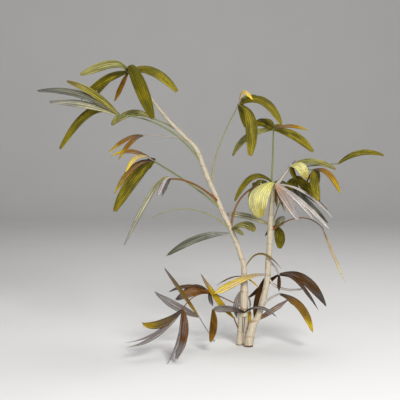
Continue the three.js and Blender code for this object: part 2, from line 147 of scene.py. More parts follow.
class Nodes:
    """Short ways to build one node tree."""

    def __init__(self, tree: bpy.types.NodeTree) -> None:
        """Keep the tree."""
        self.tree = tree

    def feed(self, value: object, socket: Socket) -> None:
        """Link a socket to another, or set its value where a plain value is given.

        Args:
            value: a socket, a number or a colour.
            socket: the input that takes it.
        """
        if isinstance(value, Socket):
            self.tree.links.new(value, socket)
        else:
            socket.default_value = value

    def add(self, kind: str, inputs: dict[str, object] | None = None, **settings: object) -> bpy.types.Node:
        """Add a node.

        Args:
            kind: its type name.
            inputs: what its inputs take, by name.
            **settings: values of its properties.

        Returns:
            The new node.
        """
        node = self.tree.nodes.new(kind)
        for name, value in settings.items():
            setattr(node, name, value)
        for name, value in (inputs or {}).items():
            self.feed(value, node.inputs[name])
        return node

    def group(self, effect: type["Effect"], inputs: dict[str, object]) -> Sockets:
        """Place a shared effect and return its output sockets."""
        return self.add("ShaderNodeGroup", inputs, node_tree=effect.shared_tree()).outputs

    def math(self, operation: str, first: object, second: object, clamp: bool = False) -> Socket:
        """Combine two numbers.

        Args:
            operation: the Math node's operation.
            first: a socket or a number.
            second: a socket or a number.
            clamp: whether the result is kept between 0 and 1.

        Returns:
            The result's socket.
        """
        node = self.add("ShaderNodeMath", operation=operation, use_clamp=clamp)
        self.feed(first, node.inputs[0])
        self.feed(second, node.inputs[1])
        return node.outputs[0]

    def times(self, first: object, second: object, clamp: bool = False) -> Socket:
        """Multiply two numbers and return the result's socket."""
        return self.math("MULTIPLY", first, second, clamp)

    def mix(self, share: object, first: object, second: object) -> Socket:
        """Blend two colours.

        Args:
            share: how much of the second colour, a socket or a number.
            first: a socket or a colour.
            second: a socket or a colour.

        Returns:
            The blended colour's socket.
        """
        node = self.add("ShaderNodeMix", data_type="RGBA")
        for index, value in ((0, share), (6, first), (7, second)):
            self.feed(value, node.inputs[index])
        return node.outputs[2]

    def ramp(self, value: Socket, low: float, high: float) -> Socket:
        """Stretch the range low to high onto 0 to 1, and return its socket."""
        inputs = {"Value": value, "From Min": low, "From Max": high}
        return self.add("ShaderNodeMapRange", inputs, interpolation_type="SMOOTHSTEP").outputs["Result"]

    def noise(self, place: Socket, scale: object, detail: float = 2.0, roughness: float = 0.5) -> Socket:
        """Add a noise and return its value's socket."""
        inputs = {"Vector": place, "Scale": scale, "Detail": detail, "Roughness": roughness}
        return self.add("ShaderNodeTexNoise", inputs).outputs["Fac"]

    def parts(self, vector: Socket) -> Sockets:
        """Split a vector and return its parts' sockets."""
        return self.add("ShaderNodeSeparateXYZ", {"Vector": vector}).outputs

    def stretched(self, flat: Sockets, across: object, along: object, seed: Socket) -> Socket:
        """Stretch a blade's UV map, so that each leaflet has a slice of its own.

        Args:
            flat: the parts of the UV map.
            across: scale across the blade.
            along: scale along it.
            seed: the leaflet's number.

        Returns:
            The socket of the stretched place.
        """
        inputs = {"X": self.times(flat["X"], across), "Y": self.times(flat["Y"], along), "Z": seed}
        return self.add("ShaderNodeCombineXYZ", inputs).outputs["Vector"]

    def tint(self, colour: Socket, value: float, saturation: float) -> Socket:
        """Scale a colour's value and saturation, and return its socket."""
        inputs = {"Color": colour, "Value": value, "Saturation": saturation}
        return self.add("ShaderNodeHueSaturation", inputs).outputs["Color"]


class Shading(Nodes):
    """A material under construction, with its surface shader."""

    def __init__(self, name: str) -> None:
        """Start an empty material.

        Args:
            name: the material's name.
        """
        self.material = bpy.data.materials.new(name)
        self.material.use_nodes = True
        super().__init__(self.material.node_tree)
        self.surface = self.tree.nodes["Principled BSDF"]

    def uv(self) -> Socket:
        """Return the socket of the piece's UV map."""
        return self.add("ShaderNodeUVMap", uv_map=UV_NAME).outputs["UV"]

    def place(self) -> Socket:
        """Return the socket of the place on the object."""
        return self.add("ShaderNodeTexCoord").outputs["Object"]

    def value_of(self, name: str) -> Socket:
        """Return the socket of one of the mesh's own values."""
        return self.add("ShaderNodeAttribute", attribute_name=name).outputs["Fac"]

    def coat(self, inputs: dict[str, object]) -> None:
        """Feed the surface shader's own sockets by name."""
        for name, value in inputs.items():
            self.feed(value, self.surface.inputs[name])

    def relief(self, height: Socket, strength: float, distance: float) -> None:
        """Raise the surface by a height.

        Args:
            height: socket that gives the height.
            strength: share of the relief that shows.
            distance: height of a full step, in metres.
        """
        bump = self.add("ShaderNodeBump", {"Height": height, "Strength": strength, "Distance": distance})
        self.coat({"Normal": bump.outputs["Normal"]})


class Effect(Nodes):
    """A shader effect that several materials share."""

    NAME = ""
    INPUTS: dict[str, str] = {}
    OUTPUTS: dict[str, str] = {}

    def __init__(self) -> None:
        """Start the group with its named sockets, and build what lies between them."""
        super().__init__(bpy.data.node_groups.new(self.NAME, "ShaderNodeTree"))
        for way, sockets in (("INPUT", self.INPUTS), ("OUTPUT", self.OUTPUTS)):
            for label, kind in sockets.items():
                self.tree.interface.new_socket(label, in_out=way, socket_type=kind)
        self.start = self.add("NodeGroupInput").outputs
        self.end = self.add("NodeGroupOutput").inputs
        self.build()

    def build(self) -> None:
        """Build the effect between its sockets."""

    @classmethod
    def shared_tree(cls) -> bpy.types.NodeTree:
        """Return the effect's group, built at its first use."""
        return bpy.data.node_groups.get(cls.NAME) or cls().tree


class Fibres(Effect):
    """Streaks that run along a limb or a blade."""

    NAME = "lengthwise_fibres"
    INPUTS = {"UV": VECTOR, "Count": NUMBER, "Stretch": NUMBER, "Seed": NUMBER}
    OUTPUTS = {"Fibre": NUMBER}
    SCALE = 2.4
    EDGE = (0.42, 0.68)

    def build(self) -> None:
        """Stretch a noise along the blade."""
        start = self.start
        spot = self.stretched(self.parts(start["UV"]), start["Count"], start["Stretch"], start["Seed"])
        threads = self.noise(spot, self.SCALE, detail=3.0, roughness=0.6)
        self.feed(self.ramp(threads, *self.EDGE), self.end["Fibre"])


class Blotches(Effect):
    """Blotches of a chosen size and share."""

    NAME = "blotches"
    INPUTS = {"Place": VECTOR, "Scale": NUMBER, "Amount": NUMBER}
    OUTPUTS = {"Mask": NUMBER}
    LEVEL = 0.78
    REACH = 0.4
    SHARPNESS = 9.0

    def build(self) -> None:
        """Keep the peaks of a noise."""
        cloud = self.noise(self.start["Place"], self.start["Scale"])
        bar = self.math("SUBTRACT", self.LEVEL, self.times(self.start["Amount"], self.REACH))
        peak = self.math("SUBTRACT", cloud, bar)
        self.feed(self.times(peak, self.SHARPNESS, clamp=True), self.end["Mask"])


class BladeColours(Effect):
    """Colours of a leaflet, from its root to its tip, with painted highlights on its pleats' ridges and
    painted shade in their valleys.
    """

    NAME = "blade_colours"
    INPUTS = {
        "Blade UV": VECTOR, "Ridge": NUMBER, "Seed": NUMBER, "Place": VECTOR,
        "Root": COLOUR, "Middle": COLOUR, "Tip": COLOUR, "Second": COLOUR, "Blend": NUMBER,
        "Stripe": NUMBER, "Spots": NUMBER, "Scorch": NUMBER, "Roughness": NUMBER,
    }
    OUTPUTS = {"Color": COLOUR, "Roughness": NUMBER, "Height": NUMBER}
    SPOT = (84, 58, 20)
    BURN = (112, 84, 44)

    # Ranges of a noise, or shares of the blade, over which one look turns into the next
    ROOT_FADE = (0.04, 0.46)
    TIP_FADE = (0.55, 0.96)
    ZONE_FADE = (0.42, 0.6)
    # The next two spread the painted shade in the pleats' valleys and the painted highlight on their ridges
    GROOVE_SHADE_FADE = (0.34, 0.66)
    HIGHLIGHT_FADE = (0.36, 0.64)
    DULL_FADE = (0.4, 0.62)
    RIM_FADE = (0.8, 1.0)
    SCORCH_FADE = (0.9, 1.03)

    # How strongly each of them shows
    WANDER = 0.55
    FIBRE_ROUGHNESS = 0.16
    # The darker tint serves the painted valley shade, the veins and the mottle; the lighter one is the
    # painted ridge highlight
    VALLEY_VALUE = 0.26
    HIGHLIGHT_VALUE = 3.2
    VEINS = 0.55
    DULL = 0.22
    SPOTS = 0.75
    RIM = 0.45

    def build(self) -> None:
        """Lay the ground, the painted pleat highlights and shade with the veins and mottle, and the marks
        over one another.
        """
        start = self.start
        flat = self.parts(start["Blade UV"])
        cloud = self.noise(start["Place"], scale=26.0)
        wander = self.times(self.math("SUBTRACT", cloud, 0.5), self.WANDER)
        along = self.math("ADD", flat["Y"], wander)
        inputs = {"UV": start["Blade UV"], "Seed": start["Seed"], "Count": 11.0, "Stretch": 0.7}
        fibre = self.group(Fibres, inputs)["Fibre"]
        pleat_lit_colour = self.pleat_light_veins_and_mottle(flat, self.ground(flat, along), fibre)
        self.feed(self.marks(flat, along, pleat_lit_colour), self.end["Color"])
        rough = self.math("ADD", start["Roughness"], self.times(fibre, self.FIBRE_ROUGHNESS))
        self.feed(rough, self.end["Roughness"])
        self.feed(fibre, self.end["Height"])

    def ground(self, flat: Sockets, along: Socket) -> Socket:
        """Blend the colours along the blade, with long patches that have turned to the second one.

        Args:
            flat: the parts of the UV map.
            along: share of the length, with its wandering.

        Returns:
            The ground colour's socket.
        """
        start = self.start
        ground = self.mix(self.ramp(along, *self.ROOT_FADE), start["Root"], start["Middle"])
        ground = self.mix(self.ramp(along, *self.TIP_FADE), ground, start["Tip"])
        zones = self.noise(self.stretched(flat, 1.5, 2.2, start["Seed"]), scale=1.7, detail=3.0)
        turned = self.times(self.ramp(zones, *self.ZONE_FADE), start["Blend"])
        return self.mix(turned, ground, start["Second"])

    def pleat_light_veins_and_mottle(self, flat: Sockets, ground: Socket, fibre: Socket) -> Socket:
        """Paint highlights on the pleats' ridges and painted shade in their valleys, and draw fine veins
        and a mottle.

        Args:
            flat: the parts of the UV map.
            ground: the ground colour.
            fibre: the fine veins.

        Returns:
            The socket of the colour with its painted pleat light, veins and mottle.
        """
        start = self.start
        shade = self.tint(ground, self.VALLEY_VALUE, saturation=0.95)
        uneven = self.noise(self.stretched(flat, 5.0, 2.5, start["Seed"]), scale=1.0)
        # Painted shade in the pleats' valleys, uneven along them
        groove = self.math("POWER", self.math("SUBTRACT", 1.0, start["Ridge"]), 2.5)
        groove_shade_amount = self.times(self.ramp(uneven, *self.GROOVE_SHADE_FADE), start["Stripe"])
        depth = self.times(groove, groove_shade_amount, clamp=True)
        # Painted highlight on the pleats' ridges, uneven along them
        highlight_strength = self.math("SUBTRACT", 1.25, self.ramp(uneven, *self.HIGHLIGHT_FADE))
        ridge_highlight = self.times(self.math("POWER", start["Ridge"], 1.6), highlight_strength)
        lift = self.math("ADD", self.times(start["Stripe"], 0.7), 0.3)
        # Fine veins and a mottle, the leaf's own marks, in the same darker tint
        veins = self.times(fibre, self.times(start["Stripe"], self.VEINS))
        mottle = self.noise(start["Place"], scale=240.0, detail=3.0)
        dull = self.times(self.ramp(mottle, *self.DULL_FADE), self.DULL)
        lit = self.tint(ground, self.HIGHLIGHT_VALUE, saturation=1.05)
        pleat_lit_colour = self.mix(self.times(ridge_highlight, lift, clamp=True), ground, lit)
        for share in (depth, veins, dull):
            pleat_lit_colour = self.mix(share, pleat_lit_colour, shade)
        return pleat_lit_colour

    def marks(self, flat: Sockets, along: Socket, pleat_lit_colour: Socket) -> Socket:
        """Add brown spots, and scorch the tip and the edges.

        Args:
            flat: the parts of the UV map.
            along: share of the length, with its wandering.
            pleat_lit_colour: the colour so far.

        Returns:
            The final colour's socket.
        """
        start = self.start
        inputs = {"Place": start["Place"], "Scale": 170.0, "Amount": start["Spots"]}
        spots = self.times(self.group(Blotches, inputs)["Mask"], self.SPOTS)
        rim = self.times(self.math("ABSOLUTE", self.math("SUBTRACT", flat["X"], 0.5), 0.0), 2.0)
        edge = self.times(self.ramp(rim, *self.RIM_FADE), self.RIM)
        burn = self.math("MAXIMUM", edge, self.ramp(along, *self.SCORCH_FADE))
        speckled = self.mix(spots, pleat_lit_colour, paint(self.SPOT))
        return self.mix(self.times(burn, start["Scorch"], clamp=True), speckled, paint(self.BURN))


@dataclass(frozen=True)
class LeafFinish:
    """Look of one colour family of leaflets, from the knot to the tip, and of its patches."""

    root: Triple
    middle: Triple
    tip: Triple
    second: Triple
    blend: float
    habit: Habit
    # How strongly painted highlights and shade show on the pleats, and how strongly the veins show
    stripe: float = 0.5
    spots: float = 0.2
    scorch: float = 0.25
    roughness: float = 0.5

    def dress(self, name: str) -> bpy.types.Material:
        """Build the family's material.

        Args:
            name: the material's name.

        Returns:
            The new material.
        """
        maker = Shading(name)
        look = maker.group(BladeColours, {
            "Blade UV": maker.uv(), "Place": maker.place(),
            "Ridge": maker.value_of(RIDGE_NAME), "Seed": maker.value_of(SEED_NAME),
            "Root": paint(self.root), "Middle": paint(self.middle), "Tip": paint(self.tip),
            "Second": paint(self.second), "Blend": self.blend, "Stripe": self.stripe,
            "Spots": self.spots, "Scorch": self.scorch, "Roughness": self.roughness,
        })
        maker.coat({
            "Base Color": look["Color"], "Roughness": look["Roughness"], "Specular IOR Level": 0.1,
        })
        maker.relief(look["Height"], strength=0.5, distance=0.0006)
        return maker.material


class Tone(Enum):
    """Colour families of the leaflets."""

    # Pale leaflets whose pleats get strong painted highlights and shade, with veins
    PALE_VEINS_AND_PLEAT_LIGHT = LeafFinish(
        (88, 86, 41), (107, 103, 55), (107, 98, 48), (128, 126, 86), 0.5, Habit.LIVE, stripe=0.8
    )
    # Yellow leaflets whose pleats get the strongest painted highlights and shade, with veins
    YELLOW_VEINS_AND_PLEAT_LIGHT = LeafFinish(
        (103, 94, 34), (104, 97, 34), (94, 83, 42), (129, 122, 79), 0.5, Habit.LIVE, stripe=1.0, spots=0.1
    )
    # Its darkened root is painted shade near the knot
    OLIVE = LeafFinish(
        (56, 52, 10), (74, 69, 16), (100, 91, 20), (116, 104, 26), 0.6, Habit.LIVE, stripe=0.6, spots=0.35
    )
    DARK_OLIVE = LeafFinish((56, 54, 9), (72, 67, 4), (74, 69, 6), (97, 84, 7), 0.5, Habit.LIVE, spots=0.3)
    # Its darkened root is painted shade near the knot
    YELLOW_OLIVE = LeafFinish(
        (58, 54, 12), (80, 75, 18), (112, 102, 25), (118, 106, 31), 0.55, Habit.LIVE, spots=0.5
    )
    PALE_BROAD = LeafFinish(
        (178, 173, 98), (186, 180, 116), (152, 140, 66), (160, 156, 122), 0.4, Habit.LIVE,
        stripe=0.12, spots=0.4, scorch=0.35
    )
    GREY_GREEN = LeafFinish(
        (92, 90, 65), (81, 82, 70), (78, 79, 76), (99, 97, 81), 0.5, Habit.LIMP, stripe=0.6
    )
    GREY_OLIVE = LeafFinish(
        (126, 124, 119), (82, 84, 70), (59, 62, 46), (104, 104, 95), 0.4, Habit.LIMP, stripe=0.6, spots=0.1
    )
    CREAM_GREY = LeafFinish(
        (109, 104, 56), (125, 122, 98), (102, 102, 100), (132, 129, 113), 0.5, Habit.LIMP,
        stripe=0.8, spots=0.1
    )
    GREY_LILAC = LeafFinish(
        (118, 107, 100), (112, 106, 104), (116, 113, 112), (92, 76, 66), 0.35, Habit.DRY,
        stripe=0.5, scorch=0.1, roughness=0.65
    )
    GREY_YELLOW = LeafFinish(
        (53, 48, 44), (80, 64, 32), (125, 101, 8), (71, 61, 53), 0.4, Habit.DRY, spots=0.15
    )
    DRIED_ORANGE = LeafFinish(
        (158, 120, 90), (138, 128, 121), (140, 137, 137), (148, 118, 98), 0.35, Habit.BLUNT,
        stripe=0.4, scorch=0.1, roughness=0.6
    )
    BURNT_GREY = LeafFinish(
        (83, 52, 27), (76, 46, 18), (97, 93, 90), (92, 83, 80), 0.5, Habit.DRY, roughness=0.6
    )
    DRIED_PALE = LeafFinish(
        (160, 148, 136), (158, 151, 146), (160, 156, 152), (134, 122, 116), 0.4, Habit.BLUNT,
        stripe=0.45, scorch=0.1, roughness=0.65
    )
    YELLOW_LILAC = LeafFinish(
        (134, 107, 8), (155, 129, 24), (107, 93, 92), (126, 97, 15), 0.4, Habit.LIMP,
        stripe=0.35, scorch=0.05
    )
    ORANGE_RUST = LeafFinish(
        (105, 61, 7), (104, 66, 15), (90, 81, 76), (92, 81, 76), 0.5, Habit.DRY,
        spots=0.1, scorch=0.1, roughness=0.6
    )
    LILAC_YELLOW = LeafFinish(
        (142, 132, 130), (172, 148, 72), (200, 178, 46), (148, 132, 124), 0.45, Habit.LIMP,
        stripe=0.25, spots=0.1, scorch=0.1
    )
    YELLOW_GREY = LeafFinish(
        (136, 110, 9), (98, 77, 27), (97, 88, 82), (95, 82, 67), 0.4, Habit.LIMP, scorch=0.05
    )
    BRIGHT_YELLOW = LeafFinish(
        (136, 114, 10), (171, 143, 26), (136, 105, 19), (128, 88, 12), 0.3, Habit.LIMP,
        stripe=0.3, spots=0.1
    )
    BROWN_YELLOW = LeafFinish(
        (79, 65, 56), (114, 80, 14), (162, 139, 18), (97, 86, 82), 0.4, Habit.LIMP, scorch=0.1
    )
    ORANGE_YELLOW = LeafFinish(
        (58, 45, 41), (124, 91, 20), (162, 136, 27), (93, 70, 58), 0.35, Habit.LIMP, stripe=0.35, scorch=0.1
    )
    PURPLE_YELLOW = LeafFinish(
        (58, 49, 48), (102, 73, 11), (180, 154, 8), (84, 67, 58), 0.35, Habit.LIMP, stripe=0.4, scorch=0.05
    )
    ORANGE_BROWN = LeafFinish(
        (72, 47, 7), (78, 49, 4), (106, 74, 6), (104, 75, 10), 0.5, Habit.LIMP, spots=0.3
    )
    RUST_GREY = LeafFinish(
        (56, 34, 10), (66, 43, 17), (55, 50, 47), (72, 65, 63), 0.6, Habit.DRY,
        spots=0.3, scorch=0.15, roughness=0.6
    )
    DARK_BROWN = LeafFinish((40, 20, 3), (57, 33, 2), (78, 50, 5), (31, 23, 15), 0.4, Habit.LIMP, spots=0.2)
    BROWN_LILAC = LeafFinish(
        (21, 13, 7), (103, 95, 90), (109, 105, 103), (73, 59, 46), 0.35, Habit.DRY,
        scorch=0.1, roughness=0.6
    )
    PINK_BROWN = LeafFinish(
        (113, 78, 34), (113, 93, 79), (100, 86, 81), (125, 110, 103), 0.5, Habit.DRY,
        scorch=0.1, roughness=0.6
    )
    CREAM_STRIP = LeafFinish(
        (112, 88, 58), (158, 140, 108), (184, 172, 126), (140, 116, 84), 0.3, Habit.DRY,
        stripe=0.3, scorch=0.05
    )


@dataclass(frozen=True)
class StalkFinish:
    """Look of one colour family of leaf stalks."""

    low: Triple
    high: Triple
    roughness: float
    streak: float = 0.62

    def dress(self, name: str) -> bpy.types.Material:
        """Build the family's material.

        Args:
            name: the material's name.

        Returns:
            The new material.
        """
        maker = Shading(name)
        uv = maker.uv()
        fibre = maker.group(Fibres, {"UV": uv, "Count": 7.0, "Stretch": 2.0})["Fibre"]
        ground = maker.mix(maker.parts(uv)["Y"], paint(self.low), paint(self.high))
        dark = tuple(int(value * self.streak) for value in self.low)
        maker.coat({"Base Color": maker.mix(fibre, ground, paint(dark)), "Roughness": self.roughness})
        maker.relief(fibre, strength=0.4, distance=0.0004)
        return maker.material


class StalkTone(Enum):
    """Colour families of the leaf stalks."""

    GREEN = StalkFinish((130, 134, 78), (98, 110, 52), 0.5)
    PALE = StalkFinish((152, 149, 100), (130, 129, 84), 0.5)
    GREY = StalkFinish((180, 171, 154), (166, 158, 149), 0.65)
    RUST = StalkFinish((128, 82, 14), (114, 72, 9), 0.6)


@dataclass(frozen=True)
class CaneFinish:
    """Look of the canes: pale fibrous bark with ring scars, stains, dark marks and a green tinge; the black
    brown of the strongest marks includes painted shade in the slit between the foot's lobes.
    """

    pale: Triple = (200, 188, 166)
    fibre: Triple = (156, 138, 113)
    stain: Triple = (128, 98, 64)
    green: Triple = (150, 143, 118)
    deep: Triple = (46, 30, 16)
    roughness: float = 0.62

    PATCHES = 0.75
    UPPER = 0.5
    FRECKLES = 0.5
    SCARS = 0.8

    def dress(self, name: str) -> bpy.types.Material:
        """Build the bark's material.

        Args:
            name: the material's name.

        Returns:
            The new material.
        """
        maker = Shading(name)
        uv, place, scar = maker.uv(), maker.place(), maker.value_of(RIDGE_NAME)
        fibre = maker.group(Fibres, {"UV": uv, "Count": 16.0, "Stretch": 7.0})["Fibre"]
        patches = maker.group(Blotches, {"Place": place, "Scale": 22.0, "Amount": 0.4})["Mask"]
        freckles = maker.group(Blotches, {"Place": place, "Scale": 240.0, "Amount": 0.22})["Mask"]
        upper = maker.times(maker.parts(uv)["Y"], self.UPPER)
        colour = maker.mix(fibre, paint(self.pale), paint(self.fibre))
        for share, over in (
            (maker.math("MAXIMUM", maker.times(patches, self.PATCHES), upper), self.green),
            (maker.times(freckles, self.FRECKLES), self.stain),
            (maker.times(scar, self.SCARS), self.stain),
            # Marks above 1 turn black brown; on the facing sides of the foot's lobes this is painted shade
            # in the slit between them
            (maker.math("SUBTRACT", scar, 1.0), self.deep),
        ):
            colour = maker.mix(share, colour, paint(over))
        maker.coat({"Base Color": colour, "Roughness": self.roughness})
        maker.relief(fibre, strength=0.55, distance=0.0007)
        return maker.material


class Limb:
    """A cane's middle line and thickness, in millimetres."""

    HALVINGS = 30

    def __init__(self, stations: list[tuple[float, float, float, float]]) -> None:
        """Keep the stations.

        Args:
            stations: x, y, height and radius of each, from the ground up.
        """
        self.radii = [(station[2], station[3]) for station in stations]
        self.points = [Vector(station[:3]) for station in stations]
        self.low = self.points[0].z
        self.high = self.points[-1].z

    def radius_at(self, height: float) -> float:
        """Return the radius at a height.

        Args:
            height: in millimetres.

        Returns:
            The radius in millimetres.
        """
        for (low, first), (high, last) in zip(self.radii, self.radii[1:]):
            if height <= high:
                share = max(0.0, (height - low) / (high - low))
                return first + (last - first) * share
        return self.radii[-1][1]

    def point(self, share: float) -> Vector:
        """Return the middle line's point, by the centripetal rule.

        Args:
            share: share of its stations.

        Returns:
            The point.
        """
        spot = share * (len(self.points) - 1)
        index = min(int(spot), len(self.points) - 2)
        weight = spot - index
        first, second = self.points[index], self.points[index + 1]
        before = self.points[index - 1] if index > 0 else first * 2.0 - second
        after = self.points[index + 2] if index + 2 < len(self.points) else second * 2.0 - first
        gap_before = (first - before).length ** 0.5
        gap = (second - first).length ** 0.5
        gap_after = (after - second).length ** 0.5
        leave = ((first - before) / gap_before - (second - before) / (gap_before + gap)
                 + (second - first) / gap) * gap
        arrive = ((second - first) / gap - (after - first) / (gap + gap_after)
                  + (after - second) / gap_after) * gap
        square, cube = weight * weight, weight * weight * weight
        return (first * (2.0 * cube - 3.0 * square + 1.0) + leave * (cube - 2.0 * square + weight)
                + second * (3.0 * square - 2.0 * cube) + arrive * (cube - square))

    def middle_at(self, height: float) -> Triple:
        """Return the middle line's point at a height.

        Args:
            height: in millimetres.

        Returns:
            The point.
        """
        low, high = 0.0, 1.0
        for _ in range(self.HALVINGS):
            half = (low + high) / 2.0
            if self.point(half).z < height:
                low = half
            else:
                high = half
        return tuple(self.point(low))

    def heading_at(self, height: float) -> Vector:
        """Return the direction of growth at a height.

        Args:
            height: in millimetres.

        Returns:
            The direction.
        """
        ahead = Vector(self.middle_at(min(height + 1.0, self.high)))
        behind = Vector(self.middle_at(max(height - 1.0, self.low)))
        return (ahead - behind).normalized()


class Bow:
    """A line from start to end whose middle is pulled off the straight, measured along itself."""

    def __init__(self, start: Vector, end: Vector, bend: tuple[float, ...]) -> None:
        """Bend the line.

        Args:
            start: first point.
            end: last point.
            bend: share of the way out, how far up, and how far right.
        """
        share, rise = bend[0], bend[1]
        right = bend[2] if len(bend) > 2 else 0.0
        self.start = start
        self.end = end
        self.pull = start.lerp(end, share) + Vector((right, 0.0, rise))
        self.lengths = [0.0]
        previous = start
        for step in range(1, CURVE_SAMPLES + 1):
            here = self.curve(step / CURVE_SAMPLES)
            self.lengths.append(self.lengths[-1] + (here - previous).length)
            previous = here
        self.length = self.lengths[-1]

    def curve(self, time: float) -> Vector:
        """Return the point at a time of the curve."""
        rest = 1.0 - time
        return self.start * (rest * rest) + self.pull * (2.0 * time * rest) + self.end * (time * time)

    def time_of(self, share: float) -> float:
        """Return the curve's time at a share of its length.

        Args:
            share: 0 to 1.

        Returns:
            The time.
        """
        target = share * self.length
        low, high = 0, CURVE_SAMPLES
        while high - low > 1:
            half = (low + high) // 2
            if self.lengths[half] < target:
                low = half
            else:
                high = half
        span = self.lengths[high] - self.lengths[low]
        return (low + (target - self.lengths[low]) / span) / CURVE_SAMPLES

    def heading(self, time: float) -> Vector:
        """Return the direction at a time of the curve."""
        slope = (self.pull - self.start) * (1.0 - time) + (self.end - self.pull) * time
        return slope.normalized()


@dataclass(frozen=True)
class Leaflet:
    """One leaflet, in millimetres from its frond's knot.

    Attributes:
        reach: its tip, right, back and up.
        bend: share of the way out, how far up and how far right its middle is pulled.
        width: across the blade at its widest.
        roll: turn of its upper face to the front, in degrees.
        tone: colour family.
        widest: share of the length at which it is widest.
    """

    reach: Triple
    bend: tuple[float, ...]
    width: float
    roll: float
    tone: Tone
    widest: float = WIDEST_AT

    LEAST_ROWS = 10
    LEAST_TOOTH = 0.25
    TOOTH_POWER = 6
    SWELL_START = 0.08
    SWELL_SPAN = 0.9
    CROWN_LIFT = 0.3
    WAVES_ALONG = 5.0
    WAVES_ACROSS = 0.8
    MIDRIB_WAVE = 0.3
    NOISE_SPAN = 90.0

    def width_at(self, along: float) -> float:
        """Return the blade's width.

        Args:
            along: share of its length.

        Returns:
            The width in millimetres.
        """
        if along < self.widest:
            rise = math.sin(math.pi / 2.0 * along / self.widest)
            return self.width * (ROOT_SHARE + (1.0 - ROOT_SHARE) * rise)
        beyond = ((along - self.widest) / (1.0 - self.widest)) ** TIP_FALL
        return self.width * (TIP_SHARE + (1.0 - TIP_SHARE) * math.cos(math.pi / 2.0 * beyond))

    def build(self, knot: Vector, seed: int, material: int) -> bmesh.types.BMesh:
        """Make the pleated blade.

        Args:
            knot: where the leaflets spread, in millimetres.
            seed: number of the leaflet, for its own small differences.
            material: index of its material in its frond.

        Returns:
            The blade as a closed thin mesh, in metres.
        """
        chance = random.Random(seed)
        carriage = self.tone.value.habit.value
        bow = Bow(knot, knot + Vector(self.reach), self.bend)
        level = Vector((self.reach[1], -self.reach[0], 0.0)).normalized()
        sign = -1.0 if self.reach[0] > 0.0 else 1.0
        twist = chance.uniform(-1.0, 1.0) * carriage.twist
        slender = (BROAD - self.width) / (BROAD - SLENDER)
        point = carriage.point * min(1.0, max(LEAST_POINT, slender))
        pleats = max(2, round(self.width / PLEAT_WIDTH))
        depth = PLEAT_DEPTH * carriage.pleat * min(1.0, self.width / pleats / PLEAT_WIDTH)
        columns = pleats * COLUMNS_IN_PLEAT
        rows = max(self.LEAST_ROWS, round(bow.length / ROW_LENGTH))
        teeth = [chance.random() for _ in range(2 * pleats + 1)]
        across_noise = chance.uniform(0.0, self.NOISE_SPAN)
        drift = Vector((across_noise, chance.uniform(0.0, self.NOISE_SPAN), 0.0))
        shift = chance.uniform(0.0, 1.0)

        def ridge_at(across: float) -> float:
            """Return 1 on a pleat's ridge and 0 in its valley."""
            return 0.5 - 0.5 * math.cos(2.0 * math.pi * across * pleats)

        def place(across: float, along: float) -> Vector:
            """Return a point of the blade.

            Args:
                across: share of its width.
                along: share of its length.

            Returns:
                The point.
            """
            tooth = teeth[min(int(across * len(teeth)), len(teeth) - 1)]
            side_share = 2.0 * across - 1.0
            end = 1.0 - carriage.ragged * (self.LEAST_TOOTH + tooth) * abs(side_share) ** 0.5
            reach = along * (1.0 - (1.0 - end) * along ** self.TOOTH_POWER)
            time = bow.time_of(reach)
            growth = bow.heading(time)
            face = level.cross(growth).normalized()
            side = growth.cross(face)
            turn = math.radians(sign * self.roll + twist * math.sin(math.pi * along + shift))
            wide = side * math.cos(turn) + face * math.sin(turn)
            outward = face * math.cos(turn) - side * math.sin(turn)
            narrowing = max(0.0, along - POINT_FROM) / (1.0 - POINT_FROM)
            half = self.width_at(along) / 2.0 * (1.0 - point * narrowing)
            swell = math.sin(math.pi * min(1.0, self.SWELL_START + along * self.SWELL_SPAN)) ** 0.5
            fold = depth * (ridge_at(across) - 0.5) * swell
            fall = carriage.crown * half * side_share * side_share
            spot = Vector((along * self.WAVES_ALONG, side_share * self.WAVES_ACROSS, 0.0)) + drift
            wave = carriage.ripple * noise.noise(spot) * (self.MIDRIB_WAVE + abs(side_share))
            rise = fold - fall + self.CROWN_LIFT * half * carriage.crown + wave
            return bow.curve(time) + wide * (half * side_share) + outward * rise

        mesh = sheet_mesh(columns, rows, place, ridge_at, seed, material)
        bmesh.ops.solidify(mesh, geom=mesh.faces[:], thickness=BLADE_THICKNESS * MM)
        return mesh


